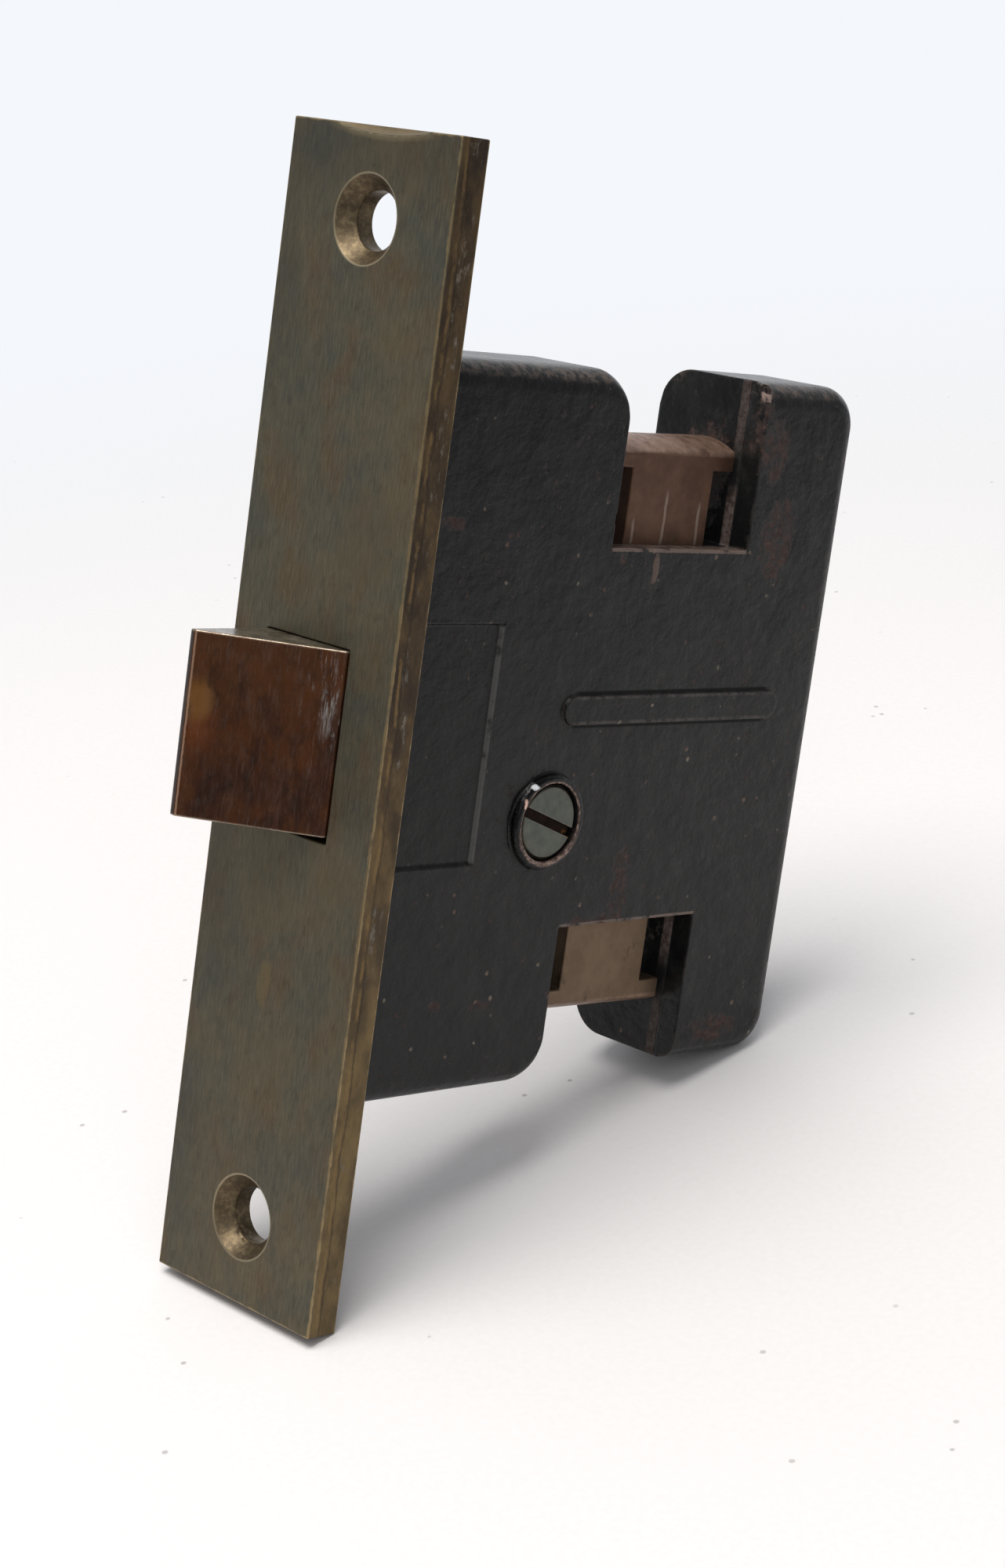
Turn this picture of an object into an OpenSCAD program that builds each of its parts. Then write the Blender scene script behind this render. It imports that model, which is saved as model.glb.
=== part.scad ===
// Mortise latch for a thumb-piece handle.
// A bronze front carries a cast case.  A bronze slide runs up and down through the case, and its
// T-shaped ends stand in notches at the top and bottom, where a thumb-piece lifts them.  Inside,
// the slide turns a rocker, the rocker pushes a yoke back, and the yoke draws the bevelled bolt in.
// The bolt can also be pushed in by itself, against its own light spring.
//
// Millimetres.  The origin is the middle of the front's back face, on the line of its two screws.
// +X runs into the door, the screwed cover faces -Y, and +Z is up.

/* [Front] */
// Length of the front
front_h = 127; // [120:1:140]
// Width of the front
front_w = 25.4; // [24:0.2:28]
// Thickness of the front
front_t = 4; // [3.5:0.1:5]
// Distance between the two fixing screws
screw_pitch = 107.95; // [104:0.5:112]
// Diameter of a fixing hole
screw_hole_d = 6.2; // [5:0.1:7]
// Diameter of a countersink at the surface
countersink_d = 9.4; // [8.5:0.1:10]

/* [Case] */
// Height of the case
case_h = 81.4; // [80:0.2:88]
// Depth of the case behind the front
case_depth = 71.8; // [70:0.2:80]
// Thickness of the case, cover included
case_t = 16.8; // [16.6:0.1:18]
// Thickness of the cover
cover_t = 3; // [2.6:0.1:3.2]
// Thickness of the edge walls
wall_t = 2.6; // [2:0.1:2.8]
// Radius of the rear corners seen from the side
corner_r = 4.8; // [3:0.1:7]
// Radius of the front arms' corners at the notches
arm_corner_r = 4; // [3:0.5:6]
// Distance from the back of the front to the notches
notch_x = 31.4; // [31:0.1:32]
// Width of a notch
notch_w = 23; // [22.5:0.1:24]
// Distance from the middle of the case to the floor of a notch
notch_floor = 21.8; // [21.6:0.1:24]

/* [Bolt] */
// Height of the bolt
bolt_h = 20; // [18:0.2:20]
// Thickness of the bolt
bolt_w = 13; // [12:0.1:13]
// How far the bolt stands out of the front
bolt_throw = 10.6; // [9:0.1:10.6]

/* [Thumb slide] */
// Width of the slide between its T-shaped ends
slide_w = 13.8; // [13:0.1:14]
// Thickness of the slide across the case
slide_t = 9.5; // [8:0.1:9.6]
// Width of a T-shaped end
tee_w = 21.7; // [18:0.1:22]
// Travel of the slide
lift = 6.35; // [5:0.05:6.35]

/* [Hidden] */
$fn = 64;

eps = 0.02;             // overlap that keeps cuts clean
run = 0.3;              // room between pieces that pass each other

// Case, seen from the side: top and bottom, notch edges and the inner faces.  The case sits a
// little high on the front.
case_top = case_h / 2 + 0.5;
case_bottom = case_top - case_h;
notch_end = notch_x + notch_w;
floor_t = 2;
inner_floor = notch_floor - floor_t;
cover_y = -8.2;                         // outer face of the cover
back_y = cover_y + case_t;              // outer face of the body
parting_y = cover_y + cover_t;          // where the cover meets the body
cavity_y = 6;                           // floor of the body's cavity
cover_edge_r = 2.9;
back_edge_r = 4.6;

// Layers across the case, from the cover to the back: slide web, rocker, yoke
slide_y = parting_y + 0.2;
web_back_y = -1.4;
rocker_y = [-1.1, 2.1];
yoke_y = [2.5, 5.7];

// Bolt
bolt_y = 0.8;                           // middle of the bolt across the case
bolt_z = -0.05;
bolt_tip_t = 0.8;
bolt_tip_x = -front_t - bolt_throw;
bolt_rear_x = 1.9;
bore_floor_x = -5;                      // bottom of the spring pocket in the bolt
tail_tip_x = -8.5;
tail_y = 2.4;                           // axis of the tail, the bolt spring and the yoke's eye
tail_r = 1.8;
bolt_slack = 0.1;                       // bolt to the sides of its hole
bolt_hole_z = [-10.75, 10.07];
pocket_half_h = 10.9;

// Rocker: the crank pin is moved by the slide, and the two long arms push the yoke
rocker_x = 50.3;
crank_r = 9;
crank_pin_r = 1.6;
arm_r = 15.3;
arm_tip_r = 1.8;
pivot_r = 3.5;
crank_room = 0.25;                      // room above and below the crank pin in the slide

// Yoke
yoke_travel = 1.7 * lift;
eye_x = [13, 16];                       // ring that the bolt's tail runs through
rail_z = [2.9, 4.7];
yoke_waist_x = 32.2;
yoke_wide_x = rocker_x - 2.5;
lug_x = [rocker_x + arm_tip_r + 0.45, rocker_x + 5.3];
horn_x = [5, 8];                        // pad that the yoke spring pushes on
full_travel = yoke_travel + bolt_throw; // bolt pushed in while the yoke is back
tail_end_x = 20.2;

// Yoke spring, in the upper front arm of the case
spring_z = 26;
spring_y = 0.8;
seat_t = 0.8;
arm_wall_x = notch_x - wall_t;

// Cover screw, in a boss that stands out of the cover, and dowels
cover_screw_at = [26.6, -9.1];
post_r = 3.6;
boss_h = 0.9;
boss_r = [6.1, 5.25];                   // at the cover and at the rim
dowel_r = 1.5;
dowel_front_at = [12, -32];
dowel_rear_at = [62, 32];

// Slide
slide_x = rocker_x - slide_w;
tee_x = slide_x + slide_w / 2 - tee_w / 2 - 0.6;
tee_z = [30.4, 32.1];
tee_crown = 1.9;                        // rise of a tee's outer face across its thickness
tee_curve = 3;                          // depth of the curve at a tee's rear end
stem_z = 20;

// Screws that hold the front on the case, from the inside
front_screw_z = 34;
front_screw_r = 1.75;
front_screw_head_r = 2.9;
front_screw_head_t = 1.9;
front_screw_depth = front_t - 1.2;      // blind holes, so that nothing shows on the outer face

// ---- Helpers -------------------------------------------------------------------------------

function arc(c, r, a0, a1, n = 8) =
    [for (i = [0:n]) c + r * [cos(a0 + (a1 - a0) * i / n), sin(a0 + (a1 - a0) * i / n)]];

// Side outline of the case, drawn inwards by e at the edges and by f at the notch floors
function case_outline(e, f) =
    let (x0 = e, x1 = notch_x - e, x2 = notch_end + e, x3 = case_depth - e,
         top = case_top - e, low = case_bottom + e, z = notch_floor - f,
         r = corner_r - e, ra = arm_corner_r - e)
    concat([[x0, low]], arc([x1 - ra, low + ra], ra, -90, 0), [[x1, -z], [x2, -z], [x2, low]],
           arc([x3 - r, low + r], r, -90, 0), arc([x3 - r, top - r], r, 0, 90),
           [[x2, top], [x2, z], [x1, z]], arc([x1 - ra, top - ra], ra, 0, 90), [[x0, top]]);

// A drawing in X and Z, thickened from y0 to y1
module slab(y0, y1)
    translate([0, y1, 0]) rotate([90, 0, 0]) linear_extrude(y1 - y0) children();

module box(x, y, z)
    translate([x[0], y[0], z[0]]) cube([x[1] - x[0], y[1] - y[0], z[1] - z[0]]);

module rod_x(x0, x1, r, y = 0, z = 0)
    translate([x0, y, z]) rotate([0, 90, 0]) cylinder(h = x1 - x0, r = r);

module rod_y(at, y0, y1, r)
    translate([at[0], y0, at[1]]) rotate([-90, 0, 0]) cylinder(h = y1 - y0, r = r);

module tube_x(x0, x1, r_in, r_out, y = 0, z = 0)
    difference() {
        rod_x(x0, x1, r_out, y, z);
        rod_x(x0 - 1, x1 + 1, r_in, y, z);
    }

module both_ends() {
    children();
    mirror([0, 0, 1]) children();
}

// Rounded long edges: the case seen from the front and from above
module case_envelope() {
    front_view = concat(
        arc([cover_y + cover_edge_r, case_bottom + cover_edge_r], cover_edge_r, 180, 270),
        arc([back_y - back_edge_r, case_bottom + back_edge_r], back_edge_r, 270, 360),
        arc([back_y - back_edge_r, case_top - back_edge_r], back_edge_r, 0, 90),
        arc([cover_y + cover_edge_r, case_top - cover_edge_r], cover_edge_r, 90, 180));
    top_view = concat([[0, cover_y]],
        arc([case_depth - cover_edge_r, cover_y + cover_edge_r], cover_edge_r, -90, 0),
        arc([case_depth - back_edge_r, back_y - back_edge_r], back_edge_r, 0, 90),
        [[0, back_y]]);
    intersection() {
        rotate([90, 0, 90]) linear_extrude(case_depth) polygon(front_view);
        translate([0, 0, case_bottom]) linear_extrude(case_h) polygon(top_view);
    }
}

// Room in which the bolt moves inside the case
module bolt_pocket(y0, y1)
    box([-eps, bolt_rear_x + full_travel + run], [y0, y1],
        [bolt_z - pocket_half_h, bolt_z + pocket_half_h]);

// A tee is crowned across its thickness, and its rear end curves away from the cover
module tee_end() {
    half_t = slide_t / 2;
    crown = [for (i = [-8:8]) [slide_y + half_t - i * half_t / 8,
                               tee_z[1] + tee_crown * (1 - i * i / 64)]];
    curve = [for (i = [0:8]) [tee_x + tee_w - tee_curve * (1 - cos(i * 90 / 8)),
                              slide_y + tee_curve + (slide_t - tee_curve) * sin(i * 90 / 8)]];
    intersection() {
        translate([tee_x, 0, 0]) rotate([90, 0, 90]) linear_extrude(tee_w)
            polygon(concat([[slide_y, tee_z[0]], [slide_y + slide_t, tee_z[0]]], crown));
        translate([0, 0, tee_z[0] - 1]) linear_extrude(tee_z[1] - tee_z[0] + tee_crown + 2)
            polygon(concat([[tee_x - 1, slide_y + slide_t], [tee_x - 1, slide_y],
                            [tee_x + tee_w, slide_y]], curve));
    }
    box([slide_x, rocker_x], [slide_y, slide_y + slide_t], [stem_z, tee_z[0] + eps]);
}

module front_screw(z)
    difference() {
        union() {
            rod_x(0.2 - front_screw_depth, wall_t + eps, front_screw_r - 0.05, 0, z);
            rod_x(wall_t, wall_t + front_screw_head_t, front_screw_head_r, 0, z);
        }
        box([wall_t + front_screw_head_t - 0.9, wall_t + front_screw_head_t + 1], [-4, 4],
            [z - 0.45, z + 0.45]);
    }

module dowel(at)
    rod_y(at, parting_y - 1.8, parting_y + 4.5, dowel_r - 0.01);

// ---- Case ----------------------------------------------------------------------------------

module case_body() color([0.16, 0.16, 0.165]) {
    difference() {
        intersection() {
            slab(parting_y, back_y) polygon(case_outline(0, 0));
            case_envelope();
        }
        slab(parting_y - 1, cavity_y) polygon(case_outline(wall_t, floor_t));
        bolt_pocket(parting_y - 1, bolt_y + bolt_w / 2 + bolt_slack);
        both_ends() box([slide_x - run, rocker_x + run], [parting_y - 1, slide_y + slide_t + run],
                        [inner_floor - 1, notch_floor + 1]);
        for (z = [-front_screw_z, front_screw_z]) rod_x(-eps, wall_t + eps, front_screw_r, 0, z);
    }
    // Post for the cover screw, flat on the side that the bolt passes
    difference() {
        rod_y(cover_screw_at, parting_y, cavity_y + 0.5, post_r);
        rod_y(cover_screw_at, parting_y - 1, 2, 2);
        bolt_pocket(parting_y - 1, bolt_y + bolt_w / 2 + bolt_slack);
    }
    // Post on which the rocker turns
    rod_y([rocker_x, 0], -1.2, cavity_y + 0.5, pivot_r);
    // Sockets for the dowels
    for (at = [dowel_front_at, dowel_rear_at]) difference() {
        rod_y(at, parting_y, cavity_y + 0.5, dowel_r + 1.8);
        rod_y(at, parting_y - 1, parting_y + 4.6, dowel_r);
    }
    // Stop that the yoke comes forward to
    box([wall_t - eps, horn_x[0] - run], [0, cavity_y + 0.5], [spring_z - 3, spring_z + 3]);
}

module case_cover() color([0.17, 0.17, 0.175]) {
    difference() {
        union() {
            intersection() {
                slab(cover_y, parting_y) polygon(case_outline(0, 0));
                case_envelope();
            }
            translate([cover_screw_at[0], cover_y - boss_h, cover_screw_at[1]]) rotate([-90, 0, 0])
                cylinder(h = boss_h + eps, r1 = boss_r[1], r2 = boss_r[0]);
        }
        // Shallow panel beside the front, and the bolt's room behind it
        box([-1, 16], [cover_y - 1, cover_y + 0.45], [-13.4, 13.2]);
        bolt_pocket(bolt_y - bolt_w / 2 - 0.2, parting_y + 1);
        // Seat of the cover screw
        rod_y(cover_screw_at, cover_y - boss_h - 1, cover_y + 1, 4.5);
        rod_y(cover_screw_at, cover_y, parting_y + 1, 2.2);
        for (at = [dowel_front_at, dowel_rear_at]) rod_y(at, parting_y - 1.9, parting_y + 1, dowel_r);
    }
    // Plain raised bar on the outside
    slab(cover_y - 0.35, cover_y + eps)
        polygon(concat(arc([61.8, 3.5], 1.7, -90, 90), arc([28.7, 3.5], 1.7, 90, 270)));
}

module cover_screw() color([0.42, 0.44, 0.42])
    difference() {
        union() {
            rod_y(cover_screw_at, cover_y + 0.3 - boss_h, cover_y + 1, 4.35);
            rod_y(cover_screw_at, cover_y + 1 - eps, 1.6, 1.95);
        }
        translate([cover_screw_at[0], cover_y + 0.3 - boss_h, cover_screw_at[1]]) rotate([0, 20, 0])
            cube([10, 1.8, 1.1], center = true);
    }

module cover_dowel_front() color([0.5, 0.5, 0.5]) dowel(dowel_front_at);
module cover_dowel_rear() color([0.5, 0.5, 0.5]) dowel(dowel_rear_at);

// ---- Front ---------------------------------------------------------------------------------

module front() color([0.36, 0.32, 0.25])
    difference() {
        box([-front_t, 0], [-front_w / 2, front_w / 2], [-front_h / 2, front_h / 2]);
        box([-front_t - 1, 1], [bolt_y - bolt_w / 2 - bolt_slack, bolt_y + bolt_w / 2 + bolt_slack],
            bolt_hole_z);
        for (z = [-screw_pitch / 2, screw_pitch / 2]) {
            rod_x(-front_t - 1, 1, screw_hole_d / 2, 0, z);
            translate([-front_t - eps, 0, z]) rotate([0, 90, 0])
                cylinder(h = (countersink_d - screw_hole_d) / 2 * 1.15,
                         r1 = countersink_d / 2, r2 = screw_hole_d / 2);
        }
        for (z = [-front_screw_z, front_screw_z]) rod_x(-front_screw_depth, 1, front_screw_r, 0, z);
    }

module front_screw_upper() color([0.5, 0.5, 0.5]) front_screw(front_screw_z);
module front_screw_lower() color([0.5, 0.5, 0.5]) front_screw(-front_screw_z);

// ---- Slide and rocker ----------------------------------------------------------------------

module thumb_slide() color([0.45, 0.34, 0.26]) {
    both_ends() tee_end();
    difference() {
        box([slide_x, rocker_x], [slide_y, web_back_y], [-stem_z - eps, stem_z + eps]);
        box([rocker_x - crank_r - crank_pin_r - 0.5, rocker_x - 4], [slide_y - 1, web_back_y + 1],
            [-crank_pin_r - crank_room, crank_pin_r + crank_room]);
    }
}

module rocker() color([0.5, 0.4, 0.25]) {
    crank_at = [rocker_x - crank_r, 0];
    difference() {
        union() {
            rod_y([rocker_x, 0], rocker_y[0], rocker_y[1], 5.2);
            for (s = [-1, 1]) rod_y([rocker_x, s * arm_r], rocker_y[0], rocker_y[1], arm_tip_r);
            box([rocker_x - arm_tip_r, rocker_x + arm_tip_r], rocker_y, [-arm_r, arm_r]);
            box([crank_at[0], rocker_x], rocker_y, [-2.6, 2.6]);
            rod_y(crank_at, rocker_y[0], rocker_y[1], 2.6);
        }
        rod_y([rocker_x, 0], rocker_y[0] - 1, rocker_y[1] + 1, pivot_r + 0.06);
        rod_y(crank_at, rocker_y[0] - 1, rocker_y[1] + 1, crank_pin_r);
    }
}

module crank_pin() color([0.55, 0.55, 0.55])
    rod_y([rocker_x - crank_r, 0], slide_y + 0.4, rocker_y[1], crank_pin_r - 0.01);

// Packs the rocker off the yoke
module rocker_washer() color([0.6, 0.5, 0.3])
    difference() {
        rod_y([rocker_x, 0], rocker_y[1] + 0.05, yoke_y[0] - 0.05, 3.75);
        rod_y([rocker_x, 0], rocker_y[1] - 1, yoke_y[0] + 1, pivot_r + 0.02);
    }

// ---- Yoke ----------------------------------------------------------------------------------

module yoke() color([0.46, 0.36, 0.24]) {
    difference() {
        box(eye_x, [tail_y - 3, yoke_y[1]], [-4.5, 4.5]);
        rod_x(eye_x[0] - 1, eye_x[1] + 1, tail_r + 0.08, tail_y);
    }
    // Horn that reaches up and forward to the yoke spring
    slab(tail_y - 3, yoke_y[1]) polygon([
        [eye_x[0], 4.4], [eye_x[1], 4.4], [eye_x[1], 13], [horn_x[1], 21],
        [horn_x[1], spring_z + 4], [horn_x[0], spring_z + 4], [horn_x[0], 20], [eye_x[0], 11.5]]);
    // Rails, waist and wide end, with a slot that clears the rocker's post
    both_ends() box([eye_x[1] - eps, yoke_waist_x], yoke_y, rail_z);
    difference() {
        union() {
            box([31.4, yoke_wide_x], yoke_y, [-rail_z[1], rail_z[1]]);
            box([yoke_waist_x, yoke_wide_x], yoke_y, [-9, 9]);
            box([yoke_wide_x, lug_x[1]], yoke_y, [-arm_r - 2.1, arm_r + 2.1]);
        }
        box([rocker_x - pivot_r - yoke_travel - 0.3, rocker_x + pivot_r + 0.3],
            [yoke_y[0] - 1, yoke_y[1] + 1], [-pivot_r - 0.3, pivot_r + 0.3]);
    }
    // Lugs behind the rocker's arms
    both_ends() box(lug_x, [rocker_y[0] + 0.1, yoke_y[0] + eps], [9.5, arm_r + 2.1]);
}

module spring_guide_pin() color([0.55, 0.55, 0.55])
    rod_x(horn_x[1], horn_x[1] + 9.4, 1.8, spring_y, spring_z);

module yoke_spring() color([0.6, 0.6, 0.6])
    tube_x(horn_x[1], arm_wall_x - seat_t, 2.45, 3.35, spring_y, spring_z);

module spring_seat() color([0.6, 0.6, 0.6])
    tube_x(arm_wall_x - seat_t, arm_wall_x, 2.1, 3.7, spring_y, spring_z);

// ---- Bolt ----------------------------------------------------------------------------------

module bolt_head() color([0.36, 0.22, 0.15])
    difference() {
        near = bolt_y - bolt_w / 2;
        far = bolt_y + bolt_w / 2;
        translate([0, 0, bolt_z - bolt_h / 2]) linear_extrude(bolt_h) polygon([
            [bolt_rear_x, near], [bolt_rear_x, far], [bolt_tip_x, far],
            [bolt_tip_x, far - bolt_tip_t], [-front_t - 0.2, near]]);
        rod_x(bore_floor_x, bolt_rear_x + 1, 3.3, tail_y);
        rod_x(tail_tip_x, bolt_rear_x, tail_r, tail_y);
    }

module bolt_tail() color([0.55, 0.55, 0.55])
    rod_x(tail_tip_x, tail_end_x, tail_r - 0.01, tail_y);

module bolt_spring() color([0.6, 0.6, 0.6])
    tube_x(bore_floor_x, eye_x[0], 2.15, 2.95, tail_y);

module tail_washer() color([0.6, 0.55, 0.4])
    tube_x(eye_x[1] + 0.1, eye_x[1] + 0.9, tail_r, 2.6, tail_y);

module tail_nut() color([0.55, 0.55, 0.55])
    difference() {
        translate([eye_x[1] + 0.9, tail_y, 0]) rotate([0, 90, 0]) cylinder(h = 2.5, r = 2.7, $fn = 6);
        rod_x(eye_x[1], tail_end_x, tail_r, tail_y);
    }

case_body();
case_cover();
cover_screw();
cover_dowel_front();
cover_dowel_rear();
front();
front_screw_upper();
front_screw_lower();
thumb_slide();
rocker();
crank_pin();
rocker_washer();
yoke();
yoke_spring();
spring_guide_pin();
spring_seat();
bolt_head();
bolt_tail();
bolt_spring();
tail_washer();
tail_nut();
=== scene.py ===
import math
import random
from functools import reduce

import bmesh
import bpy
from mathutils import Matrix, Vector


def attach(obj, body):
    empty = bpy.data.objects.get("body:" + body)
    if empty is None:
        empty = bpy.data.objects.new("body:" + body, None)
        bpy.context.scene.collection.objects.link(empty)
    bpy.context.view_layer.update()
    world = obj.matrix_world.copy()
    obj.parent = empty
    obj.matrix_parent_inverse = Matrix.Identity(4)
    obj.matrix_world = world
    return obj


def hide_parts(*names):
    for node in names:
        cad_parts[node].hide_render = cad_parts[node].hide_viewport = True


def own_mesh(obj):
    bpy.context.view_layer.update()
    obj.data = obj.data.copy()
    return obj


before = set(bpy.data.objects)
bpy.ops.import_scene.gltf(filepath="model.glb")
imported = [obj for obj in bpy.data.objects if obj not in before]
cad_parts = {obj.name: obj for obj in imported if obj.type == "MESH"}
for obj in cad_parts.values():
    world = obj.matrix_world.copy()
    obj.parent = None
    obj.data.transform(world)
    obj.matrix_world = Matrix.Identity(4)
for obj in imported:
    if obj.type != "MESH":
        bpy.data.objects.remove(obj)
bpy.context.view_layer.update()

# Everything below is in millimetres until a piece is finished. The origin is the middle of the
# front's back face: +X runs into the door, the screwed cover faces -Y and +Z is up.
MM = 0.001

FRONT_T = 4.0
FRONT_HALF_W = 12.7
FRONT_HALF_H = 63.5
FIXING_Z = 53.975
FIXING_R = 3.1
COUNTERSINK_R = 4.7
COUNTERSINK_DEPTH = 1.84

CASE_DEPTH = 71.8
CASE_TOP = 41.2
CASE_BOTTOM = -40.2
CASE_WALL = 2.6
CORNER_R = 4.8
ARM_CORNER_R = 4.0
COVER_Y = -8.2
PARTING_Y = -5.2
BACK_Y = 8.6
CAVITY_Y = 6.0
COVER_EDGE_R = 2.9
FIRST_STEP = 0.3
BACK_EDGE_R = 4.6
NOTCH_X0 = 31.4
NOTCH_X1 = 54.4
NOTCH_FLOOR = 21.8
INNER_FLOOR = 19.8

BOLT_Y0 = -5.7
BOLT_Y1 = 7.3
BOLT_Z0 = -10.05
BOLT_Z1 = 9.95
BOLT_TIP_X = -14.6
BOLT_TIP_Y = 6.5
BOLT_REAR_X = 1.9
BOLT_HOLE_Z0 = -10.75
BOLT_HOLE_Z1 = 10.07
BOLT_HOLE_Y = (-5.8, 7.4)
BOLT_ROOM_X = 23.6
BOLT_ROOM_Z = (-10.95, 10.85)
BOLT_ROOM_Y1 = 7.4
BOLT_ROOM_IN_COVER_Y = -5.9
TAIL_Y = 2.4
TAIL_R = 1.8
TAIL_HOLE_X = -8.5
BOLT_SPRING_HOLE_X = -5
BOLT_SPRING_HOLE_R = 3.3

SLIDE_X0 = 36.5
SLIDE_X1 = 50.3
SLIDE_Y0 = -5.0
SLIDE_Y1 = 4.5
SLIDE_WEB_Y = -1.4
SLIDE_STEM_Z = 20.0
TEE_X0 = 31.95
TEE_X1 = 53.65
TEE_Z0 = 30.4
TEE_TOP = 34.0
TEE_CURVE = 3.0
TEE_EDGE_FRONT = 31.9
TEE_EDGE_REAR = 32.7
TEE_CROWN_FRONT = 33.7
CRANK_SLOT_X = (39.2, 46.3)
CRANK_SLOT_Z = (-1.85, 1.85)
RUN = 0.3

PIVOT_X = 50.3
PIVOT_R = 3.5
PIVOT_END_Y = -1.2
COVER_SCREW = (26.6, -9.1)
BOSS_Y = -9.1
BOSS_R = 5.2
BOSS_FOOT_R = 5.65
SCREW_FACE_Y = -8.8
SCREW_SEAT_R = 4.5
SCREW_HEAD_R = 4.43
SCREW_HEAD_SLOPE = (0.45, 0.4)
SCREW_SLOT_HALF_W = 0.55
SCREW_SLOT_DEPTH = 0.9
SCREW_TILT = 20.0
SCREW_R = 1.95
SCREW_END_Y = 1.2
SCREW_TIP_R = 1.6
SCREW_TIP_Y = 1.6
SCREW_HOLE_R = 2.2
SCREW_POST_R = 3.6
SCREW_POST_HOLE_R = 2
SCREW_POST_HOLE_Y = 2
DOWELS = ((12.0, -32.0), (62.0, 32.0))
DOWEL_R = 1.5
DOWEL_SOCKET_WALL = 1.8
DOWEL_IN_BODY = 4.6
DOWEL_IN_COVER = 1.9
CASE_SCREW_Z = 34.0
CASE_SCREW_R = 1.75
CASE_SCREW_HOLE_X = -2.8
SPRING_Z = 26.0
SPRING_Y = 0.8
SPRING_STOP_X = 4.7
SPRING_STOP_HALF = 3

BAR_X = (28.7, 61.8)
BAR_Z = 3.5
BAR_R = 1.7
BAR_HEIGHT = 0.45
PANEL_X = 15.6
PANEL_Z = (-13.3, 13.1)
PANEL_DEPTH = 0.45
PANEL_SLOPE_W = 0.74

# How far a cutting shape stands past the surface, and a joined one reaches into the wall
OVER = 1
INTO = 0.5
# Points closer than this are joined: before and after rounding, and in a finished piece
JOIN_BEFORE = 0.01
JOIN_AFTER = 0.03
JOIN_LAST = 0.0005
# Edges sharper than this, in degrees, stay sharp in the shading
SHARP = 42

# Nicks and chips: the middle of each and its half sizes
FRONT_NICKS = (
    ((-4.1, -12.8, -8.0), (0.22, 0.22, 1.6)),
    ((-4.1, -12.8, -19.5), (0.2, 0.25, 0.9)),
    ((-4.1, -12.8, -27.0), (0.25, 0.2, 2.2)),
    ((-4.1, -12.8, -33.0), (0.2, 0.22, 0.8)),
    ((-4.1, -12.8, 24.0), (0.18, 0.2, 1.2)),
    ((-4.1, -12.8, -52.0), (0.25, 0.28, 1.5)),
    ((-4.1, 12.8, 47.0), (0.2, 0.2, 1.4)),
    ((-4.1, 12.8, -44.0), (0.2, 0.2, 1.0)),
    ((-4.1, 6.0, -63.6), (0.22, 1.8, 0.2)),
)
FRONT_HOLLOW = ((-4.3, -1.0, 64.2), (1.3, 8.5, 1.6))
COVER_CHIPS = (
    ((54.9, -7.4, 40.7), (0.9, 1.1, 0.9)),
    ((54.2, -8.1, 31.0), (0.28, 0.3, 0.7)),
    ((54.2, -8.1, 25.5), (0.25, 0.3, 1.1)),
    ((38.5, -8.2, -21.8), (0.9, 0.3, 0.25)),
    ((31.4, -8.2, 25.0), (0.25, 0.25, 0.8)),
)

scene = bpy.context.scene
dice = random.Random(7)


# ---- Mesh helpers ----


def arc(cx, cy, rx, ry, start, end, steps=16):
    """Points on part of an ellipse, in degrees from start to end."""
    turns = [math.radians(start + (end - start) * i / steps) for i in range(steps + 1)]
    return [(cx + rx * math.cos(t), cy + ry * math.sin(t)) for t in turns]


def place(axis, u, v, w):
    """A point from two coordinates across an axis and one along it."""
    if axis == "x":
        return (w, u, v)
    if axis == "y":
        return (u, w, v)
    return (u, v, w)


def as_object(name, bm):
    bmesh.ops.recalc_face_normals(bm, faces=bm.faces)
    mesh = bpy.data.meshes.new(name)
    bm.to_mesh(mesh)
    bm.free()
    obj = bpy.data.objects.new(name, mesh)
    scene.collection.objects.link(obj)
    return obj


def skin(name, bm, rings):
    """Joins rings of points into a closed skin, capped at both ends."""
    for low, high in zip(rings, rings[1:]):
        for i in range(len(low)):
            j = (i + 1) % len(low)
            bm.faces.new((low[i], low[j], high[j], high[i]))
    bm.faces.new(rings[0])
    bm.faces.new(rings[-1])
    return as_object(name, bm)


def loft(name, axis, layers):
    """A closed skin through layers of (place along the axis, outline)."""
    bm = bmesh.new()
    rings = [[bm.verts.new(place(axis, u, v, w)) for u, v in outline] for w, outline in layers]
    return skin(name, bm, rings)


def prism(axis, outline, low, high):
    return loft("tool", axis, [(low, outline), (high, outline)])


def block(x, y, z):
    return prism("z", [(x[0], y[0]), (x[1], y[0]), (x[1], y[1]), (x[0], y[1])], z[0], z[1])


def circle(at, radius, steps):
    return arc(*at, radius, radius, 0, 360 - 360 / steps, steps - 1)


def rod(axis, at, low, high, radius, top_radius=None, steps=64):
    """A round bar, or a cone if it has a top radius."""
    end = radius if top_radius is None else top_radius
    return loft("tool", axis, [(low, circle(at, radius, steps)), (high, circle(at, end, steps))])


def stretch_ball(bm, at, size):
    """Turns a ball of radius 1 into a blob of the given half sizes."""
    for v in bm.verts:
        v.co = Vector([c * s for c, s in zip(v.co, size)]) + Vector(at)
    return as_object("tool", bm)


def pebble(at, size, rough=0.25):
    """A small lumpy blob that cuts a nick or a chip."""
    bm = bmesh.new()
    bmesh.ops.create_icosphere(bm, subdivisions=2, radius=1.0)
    for v in bm.verts:
        v.co *= 1 + dice.uniform(-rough, rough)
    return stretch_ball(bm, at, size)


def scoop(at, size):
    """A smooth ellipsoid that cuts a worn hollow."""
    bm = bmesh.new()
    bmesh.ops.create_uvsphere(bm, u_segments=64, v_segments=32, radius=1.0)
    return stretch_ball(bm, at, size)


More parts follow.
